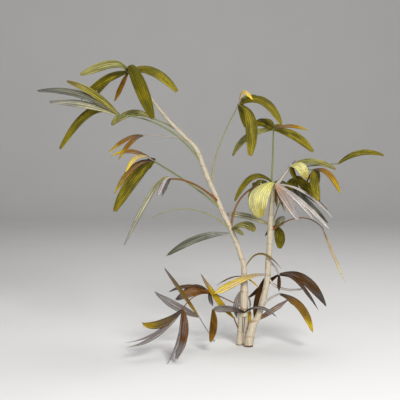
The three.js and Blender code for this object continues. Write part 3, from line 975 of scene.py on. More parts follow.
@dataclass(frozen=True)
class Stalk:
    """A leaf stalk from a start point to its frond's knot, in millimetres.

    Attributes:
        start: first point.
        bend: as a leaflet's.
        radii: at the start and at the knot.
        tone: colour family.
        apart: whether the solids hold it as a node of its own.
    """

    start: Triple
    bend: tuple[float, ...]
    radii: tuple[float, float]
    tone: StalkTone
    apart: bool = False

    SIDES = 10
    STEP = 6.0
    FLARE = 0.7
    FLARE_LENGTH = 14.0
    LUMP_DEPTH = 0.06
    LUMP_LENGTH = 30.0
    DRIFT = Vector((3.7, 1.3, 0.0))

    def build(self, knot: Vector, seed: int, material: int) -> bmesh.types.BMesh:
        """Make the tapering stalk with its flared foot.

        Args:
            knot: where it ends, in millimetres.
            seed: number of the stalk, for its own small differences.
            material: index of its material in its frond.

        Returns:
            The stalk as a closed mesh, in metres.
        """
        bow = Bow(Vector(self.start), knot, self.bend)
        rows = max(3, round(bow.length / self.STEP))
        drift = self.DRIFT * seed

        def place(across: float, along: float) -> Vector:
            """Return a point of the stalk.

            Args:
                across: share of its girth.
                along: share of its length.

            Returns:
                The point.
            """
            angle = 2.0 * math.pi * across
            time = bow.time_of(along)
            radius = self.radii[0] + (self.radii[1] - self.radii[0]) * along
            radius *= 1.0 + self.FLARE * math.exp(-along * bow.length / self.FLARE_LENGTH)
            lump = Vector((math.cos(angle), math.sin(angle), along * bow.length / self.LUMP_LENGTH))
            radius *= 1.0 + self.LUMP_DEPTH * noise.noise(lump + drift)
            spot = ring_point(bow.curve(time), bow.heading(time), radius, across)
            spot.z = max(spot.z, 0.0)
            return spot

        return tube_mesh(self.SIDES, rows, place, lambda across: 0.0, seed, material)


def ring_point(centre: Vector, growth: Vector, radius: float, across: float) -> Vector:
    """Return the point at a share of the way round a limb.

    Args:
        centre: the limb's middle there.
        growth: its direction there.
        radius: its thickness there.
        across: share of the way round.

    Returns:
        The point on its skin.
    """
    first = Vector((1.0, 0.0, 0.0)).cross(growth)
    if first.length_squared < NEARLY_ALONG_X:
        first = Vector((0.0, 1.0, 0.0)).cross(growth)
    first.normalize()
    second = growth.cross(first).normalized()
    angle = 2.0 * math.pi * across
    return centre + first * (radius * math.cos(angle)) + second * (radius * math.sin(angle))


def sheet_mesh(
    columns: int, rows: int, place: Place, ridge_at: Callable[[float], float], seed: int, material: int
) -> bmesh.types.BMesh:
    """Shape a grid into a sheet, with its blade UV map and its own values.

    Args:
        columns: faces across.
        rows: faces along.
        place: gives a point, in millimetres, for shares across and along.
        ridge_at: gives the ridge value for a share across.
        seed: number kept on every corner.
        material: index of the material.

    Returns:
        The sheet in metres.
    """
    mesh = bmesh.new()
    bmesh.ops.create_grid(mesh, x_segments=columns, y_segments=rows, size=0.5)
    layer = mesh.loops.layers.uv.new(UV_NAME)
    ridge = mesh.verts.layers.float.new(RIDGE_NAME)
    number = mesh.verts.layers.float.new(SEED_NAME)
    for face in mesh.faces:
        face.smooth = True
        face.material_index = material
        for corner in face.loops:
            corner[layer].uv = (corner.vert.co.x + 0.5, corner.vert.co.y + 0.5)
    for corner in mesh.verts:
        across, along = corner.co.x + 0.5, corner.co.y + 0.5
        corner[ridge] = ridge_at(across)
        corner[number] = seed * SEED_STEP
        corner.co = place(min(max(across, 0.0), 1.0), min(max(along, 0.0), 1.0)) * MM
    mesh.normal_update()
    return mesh


def tube_mesh(
    sides: int, rows: int, place: Place, ridge_at: Callable[[float], float], seed: int, material: int
) -> bmesh.types.BMesh:
    """Shape a grid into a closed limb: its long edges are joined and its ends are filled.

    Args:
        sides: faces round.
        rows: faces along.
        place: gives a point, in millimetres, for shares round and along.
        ridge_at: gives the ridge value for a share round.
        seed: number kept on every corner.
        material: index of the material.

    Returns:
        The limb in metres.
    """
    mesh = sheet_mesh(sides, rows, place, ridge_at, seed, material)
    bmesh.ops.remove_doubles(mesh, verts=mesh.verts[:], dist=1e-6)
    rims = [edge for edge in mesh.edges if edge.is_boundary]
    caps = bmesh.ops.holes_fill(mesh, edges=rims, sides=0)["faces"]
    for cap in caps:
        cap.material_index = material
    bmesh.ops.recalc_face_normals(mesh, faces=mesh.faces[:])
    return mesh


def join_meshes(
    name: str, meshes: list[bmesh.types.BMesh], materials: list[bpy.types.Material]
) -> bpy.types.Object:
    """Join meshes into one object.

    Args:
        name: the object's name.
        meshes: parts, which are freed.
        materials: the object's materials, in index order.

    Returns:
        The new object, linked to the scene.
    """
    data = bpy.data.meshes.new(name)
    whole = bmesh.new()
    for part in meshes:
        part.to_mesh(data)
        part.free()
        whole.from_mesh(data)
        data.clear_geometry()
    whole.to_mesh(data)
    whole.free()
    for material in materials:
        data.materials.append(material)
    piece = bpy.data.objects.new(name, data)
    bpy.context.scene.collection.objects.link(piece)
    return piece


class Wardrobe:
    """Materials that are made once and shared."""

    def __init__(self) -> None:
        """Start with nothing made."""
        self.made: dict[str, bpy.types.Material] = {}

    def of(self, name: str, finish: LeafFinish | StalkFinish | CaneFinish) -> bpy.types.Material:
        """Return a finish's material, made at its first use.

        Args:
            name: the material's name.
            finish: its look.

        Returns:
            The material.
        """
        if name not in self.made:
            self.made[name] = finish.dress(name)
        return self.made[name]


LEFT_CANE = Limb([
    (7.5, -1, 88, 12.6), (7.5, -1, 140, 12.2), (7.5, 0, 172, 11.2), (7.5, 1, 215, 8.6),
    (5, 2, 246, 8.2), (-20, 4, 321, 7.7), (-57, 7, 403, 7.5), (-104, 9, 510, 7.5),
    (-140, 8, 597, 6.9), (-172, 6, 630, 6), (-213, 4, 672, 4.9), (-263, 2, 732, 4.2),
    (-322, 0, 806, 3.6),
])
LEFT_LOBE = Limb([(-6, 0, 0, 10.5), (-5, 0, 34, 8.6), (-1.5, 0, 106, 8.2)])
RIGHT_LOBE = Limb([(10, -1, 0, 7.4), (11.5, -1, 34, 6.6), (15.5, -1, 106, 6)])
RIGHT_CANE = Limb([
    (19.6, -20.5, 0, 14.2), (26, -20, 34, 13.6), (35, -19, 70, 12.8), (43, -19, 79, 9.6),
    (54, -18, 104, 9), (64, -16, 138, 9), (71, -14, 172, 9), (77, -12, 205, 9.2),
    (78, -10, 232, 8.6), (84, -6, 321, 8.6), (86, -4, 387, 8), (91, -2, 450, 6.8),
    (93, 0, 486, 5.4),
])


@dataclass(frozen=True)
class Blot:
    """A dark mark on a cane.

    Attributes:
        height: where its middle lies, in millimetres.
        side: the way it faces, in degrees from +X; -90 is the front.
        reach: half of its height, in millimetres.
        spread: half of its width, in degrees.
        depth: how dark it is; above 1 it turns from brown to black brown.
        rise: how far it climbs from its middle to its sides, in millimetres.
    """

    height: float
    side: float
    reach: float
    spread: float
    depth: float
    rise: float = 0.0

    def strength(self, height: float, angle: float) -> float:
        """Return the mark's strength at a place on the cane.

        Args:
            height: in millimetres.
            angle: way round the cane, in radians.

        Returns:
            Its depth, faded towards its edges.
        """
        turn = math.radians(self.side) - angle
        away = abs(math.degrees(math.atan2(math.sin(turn), math.cos(turn)))) / self.spread
        gap = abs(height - self.height - self.rise * away) / self.reach
        lengthwise, sideways = (min(1.0, max(0.0, 1.0 - share) * 2.0) for share in (gap, away))
        return self.depth * lengthwise * sideways


@dataclass
class Cane:
    """A cane with ring scars where old leaves sat, and the lobes of its foot."""

    name: str
    node: str
    limb: Limb
    rings: tuple[float, ...]
    lobes: tuple[Limb, ...] = ()
    lobe_rings: tuple[float, ...] = ()
    blots: tuple[tuple[Blot, ...], ...] = ((),)
    sides: int = 40
    step: float = 3.0
    ring_reach: float = 2.6
    ring_height: float = 0.5
    waver: tuple[float, float] = (1.6, 0.8)
    waver_pitch: float = 0.05
    flute_depth: float = 0.035
    flute_count: float = 1.7
    flute_length: float = 90.0
    fibre_depth: float = 0.02
    fibre_count: float = 7.0
    fibre_length: float = 45.0
    patch_count: float = 1.5
    patch_length: float = 12.0
    patch_level: float = 0.45
    patch_depth: float = 0.55
    scar_floor: float = 0.3

    def skin(
        self, limb: Limb, rings: tuple[float, ...], blots: tuple[Blot, ...], seed: int
    ) -> bmesh.types.BMesh:
        """Make the bark of one limb.

        Args:
            limb: its middle line and thickness.
            rings: heights of its ring scars.
            blots: its dark marks.
            seed: number for its own small differences.

        Returns:
            The limb as a closed mesh, in metres.
        """
        rows = round((limb.high - limb.low) / self.step)
        drift = Vector((seed * 5.1, 0.0, seed * 2.3))
        spine = []
        for row in range(rows + 1):
            height = limb.low + (limb.high - limb.low) * row / rows
            growth = UP if row == 0 else limb.heading_at(height)
            spine.append((Vector(limb.middle_at(height)), growth, limb.radius_at(height), height))

        def grain(angle: float, tightness: float, climb: float) -> float:
            """Return a noise that closes round the limb.

            Args:
                angle: way round the limb, in radians.
                tightness: how many lumps go round.
                climb: how far up the noise.

            Returns:
                Its value, -1 to 1.
            """
            spot = Vector((math.cos(angle) * tightness, math.sin(angle) * tightness, climb))
            return noise.noise(spot + drift)

        def scar(height: float, angle: float) -> float:
            """Return how strongly a ring scar shows, with a wavering line.

            Args:
                height: in millimetres.
                angle: way round the cane, in radians.

            Returns:
                Its strength, 0 to 1.
            """
            slow, quick = math.sin(angle + seed), math.sin(2.0 * angle + height * self.waver_pitch)
            waver = self.waver[0] * slow + self.waver[1] * quick
            gaps = [abs(height + waver - ring) / self.ring_reach for ring in rings]
            return max(0.0, 1.0 - min(gaps)) if gaps else 0.0

        def place(across: float, along: float) -> Vector:
            """Return a point of the bark.

            Args:
                across: share of the girth.
                along: share of the height.

            Returns:
                The point.
            """
            centre, growth, radius, height = spine[min(round(along * rows), rows)]
            angle = 2.0 * math.pi * across
            flutes = self.flute_depth * grain(angle, self.flute_count, height / self.flute_length)
            fibre = self.fibre_depth * grain(angle, self.fibre_count, height / self.fibre_length)
            grounded = limb.low == 0.0 and height < self.step
            mark = 0.0 if grounded else scar(height, angle)
            thick = radius * (1.0 + flutes + fibre) + self.ring_height * mark
            return ring_point(centre, growth, thick, across)

        mesh = tube_mesh(self.sides, rows, place, lambda across: 0.0, seed, 0)
        ridge = mesh.verts.layers.float[RIDGE_NAME]
        for corner in mesh.verts:
            height = corner.co.z / MM
            middle = Vector(limb.middle_at(min(max(height, limb.low), limb.high)))
            angle = math.atan2(corner.co.y / MM - middle.y, corner.co.x / MM - middle.x)
            patch = grain(angle, self.patch_count, height / self.patch_length)
            patchy = self.patch_level + self.patch_depth * patch
            marks = [blot.strength(height, angle) for blot in blots]
            shown = scar(height, angle) * max(0.0, patchy + self.scar_floor)
            corner[ridge] = shown + max(marks, default=0.0)
        return mesh

    def build(self, wardrobe: Wardrobe) -> bpy.types.Object:
        """Make the cane and set it in the frame.

        Args:
            wardrobe: the shared materials.

        Returns:
            The cane's piece.
        """
        parts = [self.skin(self.limb, self.rings, self.blots[0], 1)]
        for number, lobe in enumerate(self.lobes, 1):
            parts.append(self.skin(lobe, self.lobe_rings, self.blots[number], number + 1))
        piece = join_meshes(self.name, parts, [wardrobe.of(Slot.CANE.value, CaneFinish())])
        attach(piece, BODY)
        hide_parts(self.node)
        return piece


CANES = (
    Cane("bark_left", "cane_left", LEFT_CANE,
         (163, 217, 262, 312, 362, 409, 452, 498, 541, 580, 618, 655, 694, 735, 774),
         (LEFT_LOBE, RIGHT_LOBE), (41,), (
             (Blot(109, -84, 3.5, 95, 1.2, 9), Blot(164, -150, 3, 60, 0.5)),
             # The black brown marks at height 68, on the sides of the two lobes that face each other, are
             # painted shade in the slit between them
             (Blot(68, -22, 34, 26, 1.9), Blot(0, -90, 3.5, 150, 1.3), Blot(98, -60, 6, 60, 0.8)),
             (Blot(68, -158, 34, 30, 1.9), Blot(0, -70, 4, 140, 1.6), Blot(98, -120, 6, 60, 0.8)),
         )),
    Cane("bark_right", "cane_right", RIGHT_CANE,
         (30, 128, 172, 217, 262, 308, 352, 396, 438, 470), blots=((
             Blot(0, -95, 6, 100, 1.9), Blot(76, -150, 5, 90, 0.9, 4), Blot(60, 175, 12, 40, 0.7),
         ),)),
)


@dataclass(frozen=True)
class Frond:
    """A fan of leaflets that spread from a knot, with its stalk."""

    node: str
    slot: Slot
    knot: Triple
    leaflets: tuple[Leaflet, ...]
    stalk: Stalk | None = None

    LARGEST_KNOB = 3.6
    KNOB_OVER_STALK = 1.5
    KNOB_UV = (0.5, 0.9)

    def knot_mesh(self, knot: Vector, seed: int, material: int) -> bmesh.types.BMesh:
        """Make the small lump where the leaflets spread.

        Args:
            knot: its middle, in millimetres.
            seed: number kept on every corner.
            material: index of the material.

        Returns:
            The lump, in metres.
        """
        mesh = bmesh.new()
        radius = min(self.LARGEST_KNOB, self.stalk.radii[1] * self.KNOB_OVER_STALK)
        bmesh.ops.create_icosphere(mesh, subdivisions=2, radius=radius * MM)
        layer = mesh.loops.layers.uv.new(UV_NAME)
        mesh.verts.layers.float.new(RIDGE_NAME)
        number = mesh.verts.layers.float.new(SEED_NAME)
        bmesh.ops.transform(mesh, matrix=Matrix.Translation(knot * MM), verts=mesh.verts[:])
        for corner in mesh.verts:
            corner[number] = seed * SEED_STEP
        for face in mesh.faces:
            face.smooth = True
            face.material_index = material
            for corner in face.loops:
                corner[layer].uv = self.KNOB_UV
        return mesh

    def build(self, wardrobe: Wardrobe, first_seed: int) -> bpy.types.Object:
        """Make the frond and set it in the frame.

        Args:
            wardrobe: the shared materials.
            first_seed: number of its first leaflet.

        Returns:
            The frond's piece.
        """
        knot = Vector(self.knot)
        tones = list(dict.fromkeys(leaflet.tone for leaflet in self.leaflets))
        materials = [wardrobe.of(tone.name.lower(), tone.value) for tone in tones]
        parts = []
        for number, leaflet in enumerate(self.leaflets):
            parts.append(leaflet.build(knot, first_seed + number, tones.index(leaflet.tone)))
        nodes = [self.node]
        if self.stalk is not None:
            tone = self.stalk.tone
            last = len(materials)
            materials.append(wardrobe.of(f"{tone.name.lower()}_stalk", tone.value))
            parts.append(self.stalk.build(knot, first_seed, last))
            if self.leaflets:
                parts.append(self.knot_mesh(knot, first_seed, last))
            if self.stalk.apart:
                nodes.append(self.node.replace("frond_", "stalk_"))
        name = self.node.replace("frond_", "fan_").replace("sheath_", "dry_sheath_")
        piece = join_meshes(name, parts, materials)
        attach(piece, BODY)
        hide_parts(*nodes)
        return piece


# Fronds, from the top of the plant down
FRONDS = (
    Frond("frond_top", Slot.OLIVE, (-339, -1, 822), (
        Leaflet((-138, -40, -10), (0.14, 56), 31, 60, Tone.PALE_VEINS_AND_PLEAT_LIGHT),
        Leaflet((-145, 30, -81), (0.5, 36), 33, 55, Tone.OLIVE),
        Leaflet((-35, -70, -88), (0.4, 14), 19, 0, Tone.ORANGE_BROWN),
        Leaflet((77, -90, -139), (0.08, 84, -6), 41, 22, Tone.DARK_OLIVE),
        Leaflet((148, -20, -60), (0.48, 65), 31, 58, Tone.YELLOW_OLIVE),
        Leaflet((30, 170, -60), (0.5, 70), 27, 0, Tone.OLIVE),
        Leaflet((-112, 130, -72), (0.5, 50), 26, 0, Tone.YELLOW_OLIVE),
    ), Stalk(LEFT_CANE.middle_at(790), (0.5, 0), (3.4, 3.2), StalkTone.GREY)),
    Frond("frond_left", Slot.PALE, (-363, -60, 696), (
        Leaflet((-145, -50, 96), (0.45, 32), 28, 55, Tone.YELLOW_VEINS_AND_PLEAT_LIGHT),
        Leaflet((-227, -80, 67), (0.45, 58), 28, 50, Tone.GREY_GREEN),
        Leaflet((-197, -50, 37), (0.45, 28), 31, 45, Tone.CREAM_GREY),
        Leaflet((-177, 20, -102), (0.5, 120, 4), 35, 52, Tone.YELLOW_OLIVE),
        Leaflet((-18, -30, -28), (0.4, 10), 16, 0, Tone.PALE_VEINS_AND_PLEAT_LIGHT),
        Leaflet((-66, 110, 30), (0.5, 14), 24, 0, Tone.PALE_VEINS_AND_PLEAT_LIGHT),
    ), Stalk(LEFT_CANE.middle_at(548), (0.5, 66, 30), (2.6, 2.2), StalkTone.GREEN, apart=True)),
    Frond("frond_upper_inner", Slot.PALE, (-267, 25, 684), (
        Leaflet((-124, -15, -20), (0.5, 58), 27, 48, Tone.PALE_VEINS_AND_PLEAT_LIGHT),
        Leaflet((-35, 130, 10), (0.5, 30), 24, 0, Tone.OLIVE),
    ), Stalk(LEFT_CANE.middle_at(650), (0.5, 6), (3, 2.4), StalkTone.PALE, apart=True)),
    Frond("frond_twisted", Slot.YELLOW, (-295, 20, 634), (
        Leaflet((-105, -20, -52), (0.45, 32), 17, 38, Tone.BROWN_YELLOW),
        Leaflet((-74, -40, -73), (0.45, 30, -8), 19, 20, Tone.BROWN_YELLOW),
        Leaflet((-72, 50, -60), (0.45, 30), 15, 0, Tone.BROWN_YELLOW),
    ), Stalk(LEFT_CANE.middle_at(622), (0.5, 8), (2.2, 1.6), StalkTone.GREY, apart=True)),
    Frond("frond_left_middle", Slot.OLIVE, (-262, -50, 560), (
        Leaflet((-125, -30, 14), (0.5, 48), 16, 40, Tone.BROWN_YELLOW),
        Leaflet((-77, -80, -29), (0.62, 66), 19, 20, Tone.LILAC_YELLOW),
        Leaflet((-114, -36, -94), (0.5, 66), 20, 48, Tone.BROWN_YELLOW),
        Leaflet((-110, -92, -141), (0.5, 42, -4), 39, 28, Tone.OLIVE),
        Leaflet((-78, 110, -70), (0.5, 50), 26, 0, Tone.OLIVE),
        Leaflet((-20, 120, -30), (0.5, 40), 24, 0, Tone.DARK_OLIVE),
    ), Stalk(LEFT_CANE.middle_at(416), (0.5, 14), (3.4, 2.2), StalkTone.GREEN, apart=True)),
    Frond("frond_folded", Slot.DRIED, (-210, -100, 511), (
        Leaflet((-131, -90, -183), (0.3, 98, 12), 15, 35, Tone.CREAM_GREY),
        Leaflet((-38, -30, -47), (0.55, 46), 26, 0, Tone.DRIED_PALE),
        Leaflet((-30, 90, -60), (0.5, 30), 14, 0, Tone.GREY_LILAC),
    ), Stalk(LEFT_CANE.middle_at(436), (0.55, 34), (3.6, 2.4), StalkTone.RUST, apart=True)),
    Frond("frond_broken", Slot.PALE, (-262, -150, 403), (
    ), Stalk(LEFT_CANE.middle_at(352), (0.5, 84), (2.4, 1), StalkTone.PALE)),
    Frond("frond_grey_left", Slot.DRIED, (-33, 0, 340), (
        Leaflet((-193, -89, -57), (0.5, 44), 25, 45, Tone.GREY_OLIVE),
    )),
    Frond("frond_yellow_centre", Slot.YELLOW, (-11, -20, 726), (
        Leaflet((40, -14, 13), (0.12, 68), 18, 40, Tone.LILAC_YELLOW),
        Leaflet((124, -30, -58), (0.6, 88), 28, 58, Tone.OLIVE),
        Leaflet((30, -72, -150), (0.36, 40, 42), 38, 0, Tone.YELLOW_OLIVE),
        Leaflet((25, 120, -70), (0.5, 50), 26, 0, Tone.OLIVE),
        Leaflet((60, 110, 25), (0.5, 30), 24, 0, Tone.YELLOW_OLIVE),
    ), Stalk(LEFT_CANE.middle_at(478), (0.28, 20, -31), (2.4, 1.7), StalkTone.PALE, apart=True)),
    Frond("frond_right_top", Slot.OLIVE, (94, 10, 652), (
        Leaflet((-57, 12, 8), (0.66, 36), 30, 60, Tone.OLIVE),
        Leaflet((-122, 0, -80), (0.75, 62), 23, 55, Tone.PALE_VEINS_AND_PLEAT_LIGHT),
        Leaflet((115, -40, -66), (0.55, 36), 28, 55, Tone.OLIVE),
        Leaflet((107, 8, -4), (0.45, 28), 17, 45, Tone.BROWN_YELLOW),
        Leaflet((40, 120, 0), (0.5, 30), 24, 0, Tone.OLIVE),
        Leaflet((-30, 120, 20), (0.5, 40), 26, 0, Tone.DARK_OLIVE),
    ), Stalk((87, 4, 478), (0.3, 0, 3), (3, 2.2), StalkTone.GREEN, apart=True)),
    Frond("frond_right_upper", Slot.PALE, (145, -14, 545), (
        Leaflet((40, -40, -38), (0.85, 48), 35, 32, Tone.PALE_BROAD),
        Leaflet((14, -14, -42), (0.5, 0), 24, 0, Tone.DARK_OLIVE),
        Leaflet((15, 3, 16), (0.5, 0), 13, 45, Tone.GREY_LILAC),
        Leaflet((140, 34, -13), (0.5, 38), 23, 52, Tone.PALE_VEINS_AND_PLEAT_LIGHT),
        Leaflet((60, 120, -14), (0.5, 20), 24, 0, Tone.OLIVE),
    ), Stalk((96, 0.3, 476), (0.5, 0), (5, 4.8), StalkTone.GREY)),
    Frond("frond_far_right", Slot.OLIVE, (294, 42, 548), (
        Leaflet((142, 20, 24), (0.45, 45), 20, 58, Tone.OLIVE),
        Leaflet((70, 140, 24), (0.5, 6), 16, 0, Tone.OLIVE),
    ), Stalk((140.8, -6.2, 537), (0.5, 2), (2, 1.6), StalkTone.GREEN)),
    Frond("frond_right_hanging", Slot.YELLOW, (208, -42, 533), (
        Leaflet((10, -50, -87), (0.5, 22, -8), 28, 0, Tone.YELLOW_OLIVE),
        Leaflet((80, -20, -70), (0.6, 60), 19, 50, Tone.ORANGE_YELLOW),
        Leaflet((-22, 6, -42), (0.5, 10), 17, 20, Tone.ORANGE_BROWN),
        Leaflet((28, 110, -50), (0.5, 40), 22, 0, Tone.OLIVE),
    ), Stalk((152.6, -7.8, 537.4), (0.5, 4), (1.8, 1.5), StalkTone.GREEN)),
    Frond("frond_right_inner", Slot.OLIVE, (158, 4, 506), (
        Leaflet((76, 4, -71), (0.5, 18), 33, 70, Tone.DARK_OLIVE),
        Leaflet((-22, -6, -36), (0.5, 8), 26, 55, Tone.DARK_OLIVE),
        Leaflet((14, -6, -44), (0.5, 0), 22, 0, Tone.DARK_OLIVE),
        Leaflet((40, 110, -40), (0.5, 40), 26, 0, Tone.DARK_OLIVE),
    ), Stalk(RIGHT_CANE.middle_at(321), (0.3, 60, -6), (2.2, 1.6), StalkTone.PALE)),
    Frond("frond_crown_broad", Slot.PALE, (90, -12, 496), (
        Leaflet((-40, -100, -97), (0.5, 26, -46), 62, 0, Tone.PALE_BROAD),
        Leaflet((-114, -28, -56), (0.55, 90, -2), 19, 50, Tone.OLIVE),
    ), Stalk(RIGHT_CANE.middle_at(474), (0.5, 0), (2.6, 2.6), StalkTone.PALE)),
    Frond("frond_crown_dried", Slot.DRIED, (100, -15, 489), (
        Leaflet((61, -104, -101), (0.5, 16), 33, 0, Tone.DRIED_ORANGE),
        Leaflet((107, -76, -100), (0.5, 26), 15, 20, Tone.DRIED_PALE),
        Leaflet((155, -54, -131), (0.5, 36), 17, 42, Tone.DRIED_PALE),
        Leaflet((173, -22, -105), (0.5, 58), 10, 50, Tone.DRIED_PALE),
    ), Stalk(RIGHT_CANE.middle_at(474), (0.5, 0), (2.2, 2.2), StalkTone.GREY)),
    Frond("frond_crown_shaded", Slot.OLIVE, (98, 15, 492), (
        Leaflet((164, 22, -84), (0.5, 34), 22, 50, Tone.GREY_GREEN),
        Leaflet((164, 4, -124), (0.5, 44), 22, 50, Tone.GREY_OLIVE),
        Leaflet((11, 34, -78), (0.5, 0), 12, 0, Tone.BROWN_YELLOW),
        Leaflet((36, 26, -92), (0.5, 0), 12, 0, Tone.BROWN_YELLOW),
        Leaflet((70, 130, -60), (0.5, 50), 26, 0, Tone.OLIVE),
    ), Stalk(RIGHT_CANE.middle_at(472), (0.5, 0), (2.2, 2.2), StalkTone.GREEN)),
    Frond("frond_behind_crown", Slot.PALE, (45, 60, 478), (
        Leaflet((10, 150, -40), (0.5, 50), 26, 0, Tone.OLIVE),
        Leaflet((-10, 110, -70), (0.5, 40), 26, 0, Tone.PALE_VEINS_AND_PLEAT_LIGHT),
        Leaflet((46, 120, -20), (0.5, 50), 24, 0, Tone.OLIVE),
    ), Stalk(LEFT_CANE.middle_at(352), (0.14, 82, -3), (3.2, 2.6), StalkTone.RUST, apart=True)),
    Frond("frond_between", Slot.PALE, (80, -5, 368), (
        Leaflet((-140, 32, 26), (0.5, 26), 20, 60, Tone.CREAM_GREY),
    )),
    Frond("frond_curled", Slot.YELLOW, (-31, -3, 356), (
        Leaflet((67, -46, -5), (0.72, 38), 26, 45, Tone.PALE_VEINS_AND_PLEAT_LIGHT, CLUBBED),
        Leaflet((34, -28, -18), (0.5, 12), 18, 20, Tone.PALE_VEINS_AND_PLEAT_LIGHT),
    )),
    Frond("frond_hanging_middle", Slot.OLIVE, (102, 16, 361), (
        Leaflet((10, -26, -66), (0.5, 14, 16), 35, 0, Tone.DARK_OLIVE),
        Leaflet((28, 8, 27), (0.5, 0), 27, 66, Tone.CREAM_GREY),
        Leaflet((-30, 22, -34), (0.5, 16), 24, 10, Tone.RUST_GREY),
    ), Stalk(RIGHT_CANE.middle_at(352), (0.5, 0), (2.4, 2.2), StalkTone.RUST)),
    Frond("frond_long_strip", Slot.DRIED, (238.7, -30, 360), (
        Leaflet((66.5, -30, -160.4), (0.5, 0), 9, 40, Tone.CREAM_STRIP, 0.6),
    ), Stalk(RIGHT_CANE.middle_at(345), (0.5, 73, 16), (2, 1.5), StalkTone.RUST)),
    Frond("frond_arched_strip", Slot.RUST, (10, -3, 236), (
        Leaflet((107, -34, 2), (0.36, 90), 8, 35, Tone.YELLOW_GREY),
    )),
    Frond("frond_right_low", Slot.RUST, (111, -18, 219), (
        Leaflet((139, -42, -91), (0.6, 76), 31, 45, Tone.RUST_GREY),
        Leaflet((110, -82, -95), (0.5, 64), 14, 20, Tone.RUST_GREY),
        Leaflet((-1, -20, -49), (0.5, 6), 11, 0, Tone.DARK_BROWN),
        Leaflet((-92, 84, -90), (0.5, 8), 26, 40, Tone.DARK_BROWN),
        Leaflet((60, 110, -22), (0.5, 6), 20, 0, Tone.ORANGE_BROWN),
    ), Stalk(RIGHT_CANE.middle_at(254), (0.5, 18), (3.4, 2.6), StalkTone.GREY)),
    Frond("frond_brown_blade", Slot.RUST, (76, -3, 212), (
        Leaflet((-37, 8, -144), (0.5, 14, -19), 17, 80, Tone.DARK_BROWN),
    )),
    Frond("frond_yellow_left", Slot.YELLOW, (72, -19, 217), (
        Leaflet((-156, -54, -48), (0.3, 30), 25, 45, Tone.LILAC_YELLOW, CLUBBED),
    )),
    Frond("frond_thin_right", Slot.DRIED, (80, -17, 212), (
        Leaflet((101, -33, -31), (0.2, -42), 14, 30, Tone.DRIED_PALE, 0.3),
    )),
    Frond("frond_small_yellow", Slot.YELLOW, (13, -3, 205), (
        Leaflet((38, -25, -26), (0.5, 8), 6, 30, Tone.BRIGHT_YELLOW),
    )),
    Frond("frond_thin_arc", Slot.RUST, (3, 2, 210), (
        Leaflet((-78, 18, -32), (0.5, 18), 7, 30, Tone.ORANGE_BROWN),
    )),
    Frond("frond_yellow_rising", Slot.YELLOW, (-23, -18, 86), (
        Leaflet((-101, -62, 145), (0.5, -16), 19, 75, Tone.YELLOW_LILAC, 0.35),
    ), Stalk((-6, -2, 46), (0.5, 0, -4), (1.8, 1.8), StalkTone.RUST)),
    Frond("frond_low_pair", Slot.DRIED, (8, -17, 104), (
        Leaflet((-98, -73, 22), (0.5, 16), 24, 50, Tone.BROWN_LILAC, CLUBBED),
        Leaflet((95, -43, -8), (0.5, 46), 14, 35, Tone.BROWN_LILAC),
    )),
    Frond("frond_low_hanging", Slot.RUST, (-88.2, -93, 127.2), (
        Leaflet((-8, -22, -94), (0.5, 0, 9), 24, 0, Tone.ORANGE_BROWN),
    )),
    Frond("frond_left_low", Slot.RUST, (-98, -10, 164), (
        Leaflet((-122, -10, 1), (0.5, 40), 17, 40, Tone.RUST_GREY),
        Leaflet((-102, -36, -19), (0.5, 28), 28, 45, Tone.ORANGE_RUST),
        Leaflet((10, -30, -38), (0.5, 0), 15, 0, Tone.BROWN_LILAC),
        Leaflet((-90, 70, -20), (0.5, 50), 18, 0, Tone.RUST_GREY),
    ), Stalk(LEFT_CANE.middle_at(112), (0.5, 4), (1.6, 1.6), StalkTone.RUST, apart=True)),
    Frond("frond_left_front", Slot.DRIED, (-177, -150, 138), (
        Leaflet((-115, -40, -30), (0.55, -36), 30, 28, Tone.GREY_YELLOW, CLUBBED),
        Leaflet((-157, -65, -95), (0.5, -44), 17, 20, Tone.GREY_LILAC),
        Leaflet((-162, -50, -85), (0.5, -42), 8, 20, Tone.GREY_LILAC),
        Leaflet((-17, -85, -126), (0.5, 10, 22), 29, 0, Tone.BURNT_GREY),
        Leaflet((-41, -95, -137), (0.5, 0, 24), 12, 0, Tone.GREY_LILAC),
    ), Stalk((-100.5, -16.6, 160.6), (0.5, 26, -10), (1.5, 1.5), StalkTone.RUST, apart=True)),
    Frond("frond_left_pair", Slot.DRIED, (-130, -44, 97), (
        Leaflet((-100, -76, 158), (0.5, 0, 6), 19, 62, Tone.YELLOW_GREY),
        Leaflet((-129, -80, 88), (0.5, -5), 32, 50, Tone.GREY_LILAC),
    ), Stalk((-82, 45, 1.8), (0.5, -4), (1.6, 1.6), StalkTone.GREY, apart=True)),
    Frond("frond_right_foot", Slot.YELLOW, (113, -24, 161), (
        Leaflet((93, -66, -105), (0.7, 62, 9), 26, 28, Tone.PURPLE_YELLOW),
        Leaflet((60, 90, -60), (0.5, 20), 20, 0, Tone.RUST_GREY),
    ), Stalk(RIGHT_CANE.middle_at(128), (0.5, 6), (4, 2.4), StalkTone.GREY)),
    Frond("frond_rust_foot", Slot.RUST, (42, -17, 78), (
        Leaflet((96, -12, 66), (0.5, 0), 18, 60, Tone.PINK_BROWN),
    )),
    Frond("frond_foot_shoot", Slot.YELLOW, (20, -4, 62), (
        Leaflet((6, 12, 46), (0.5, 0), 13, 0, Tone.BRIGHT_YELLOW),
    )),
    Frond("sheath_left", Slot.DRIED, (0, -3, 166), (
        Leaflet((-14, -8, -84), (0.5, 0, -16), 19, 75, Tone.GREY_LILAC),
    )),
    Frond("sheath_right", Slot.DRIED, (13, -6, 158), (
        Leaflet((8, -4, -52), (0.5, 0, 16), 6, 80, Tone.GREY_LILAC),
    )),
)


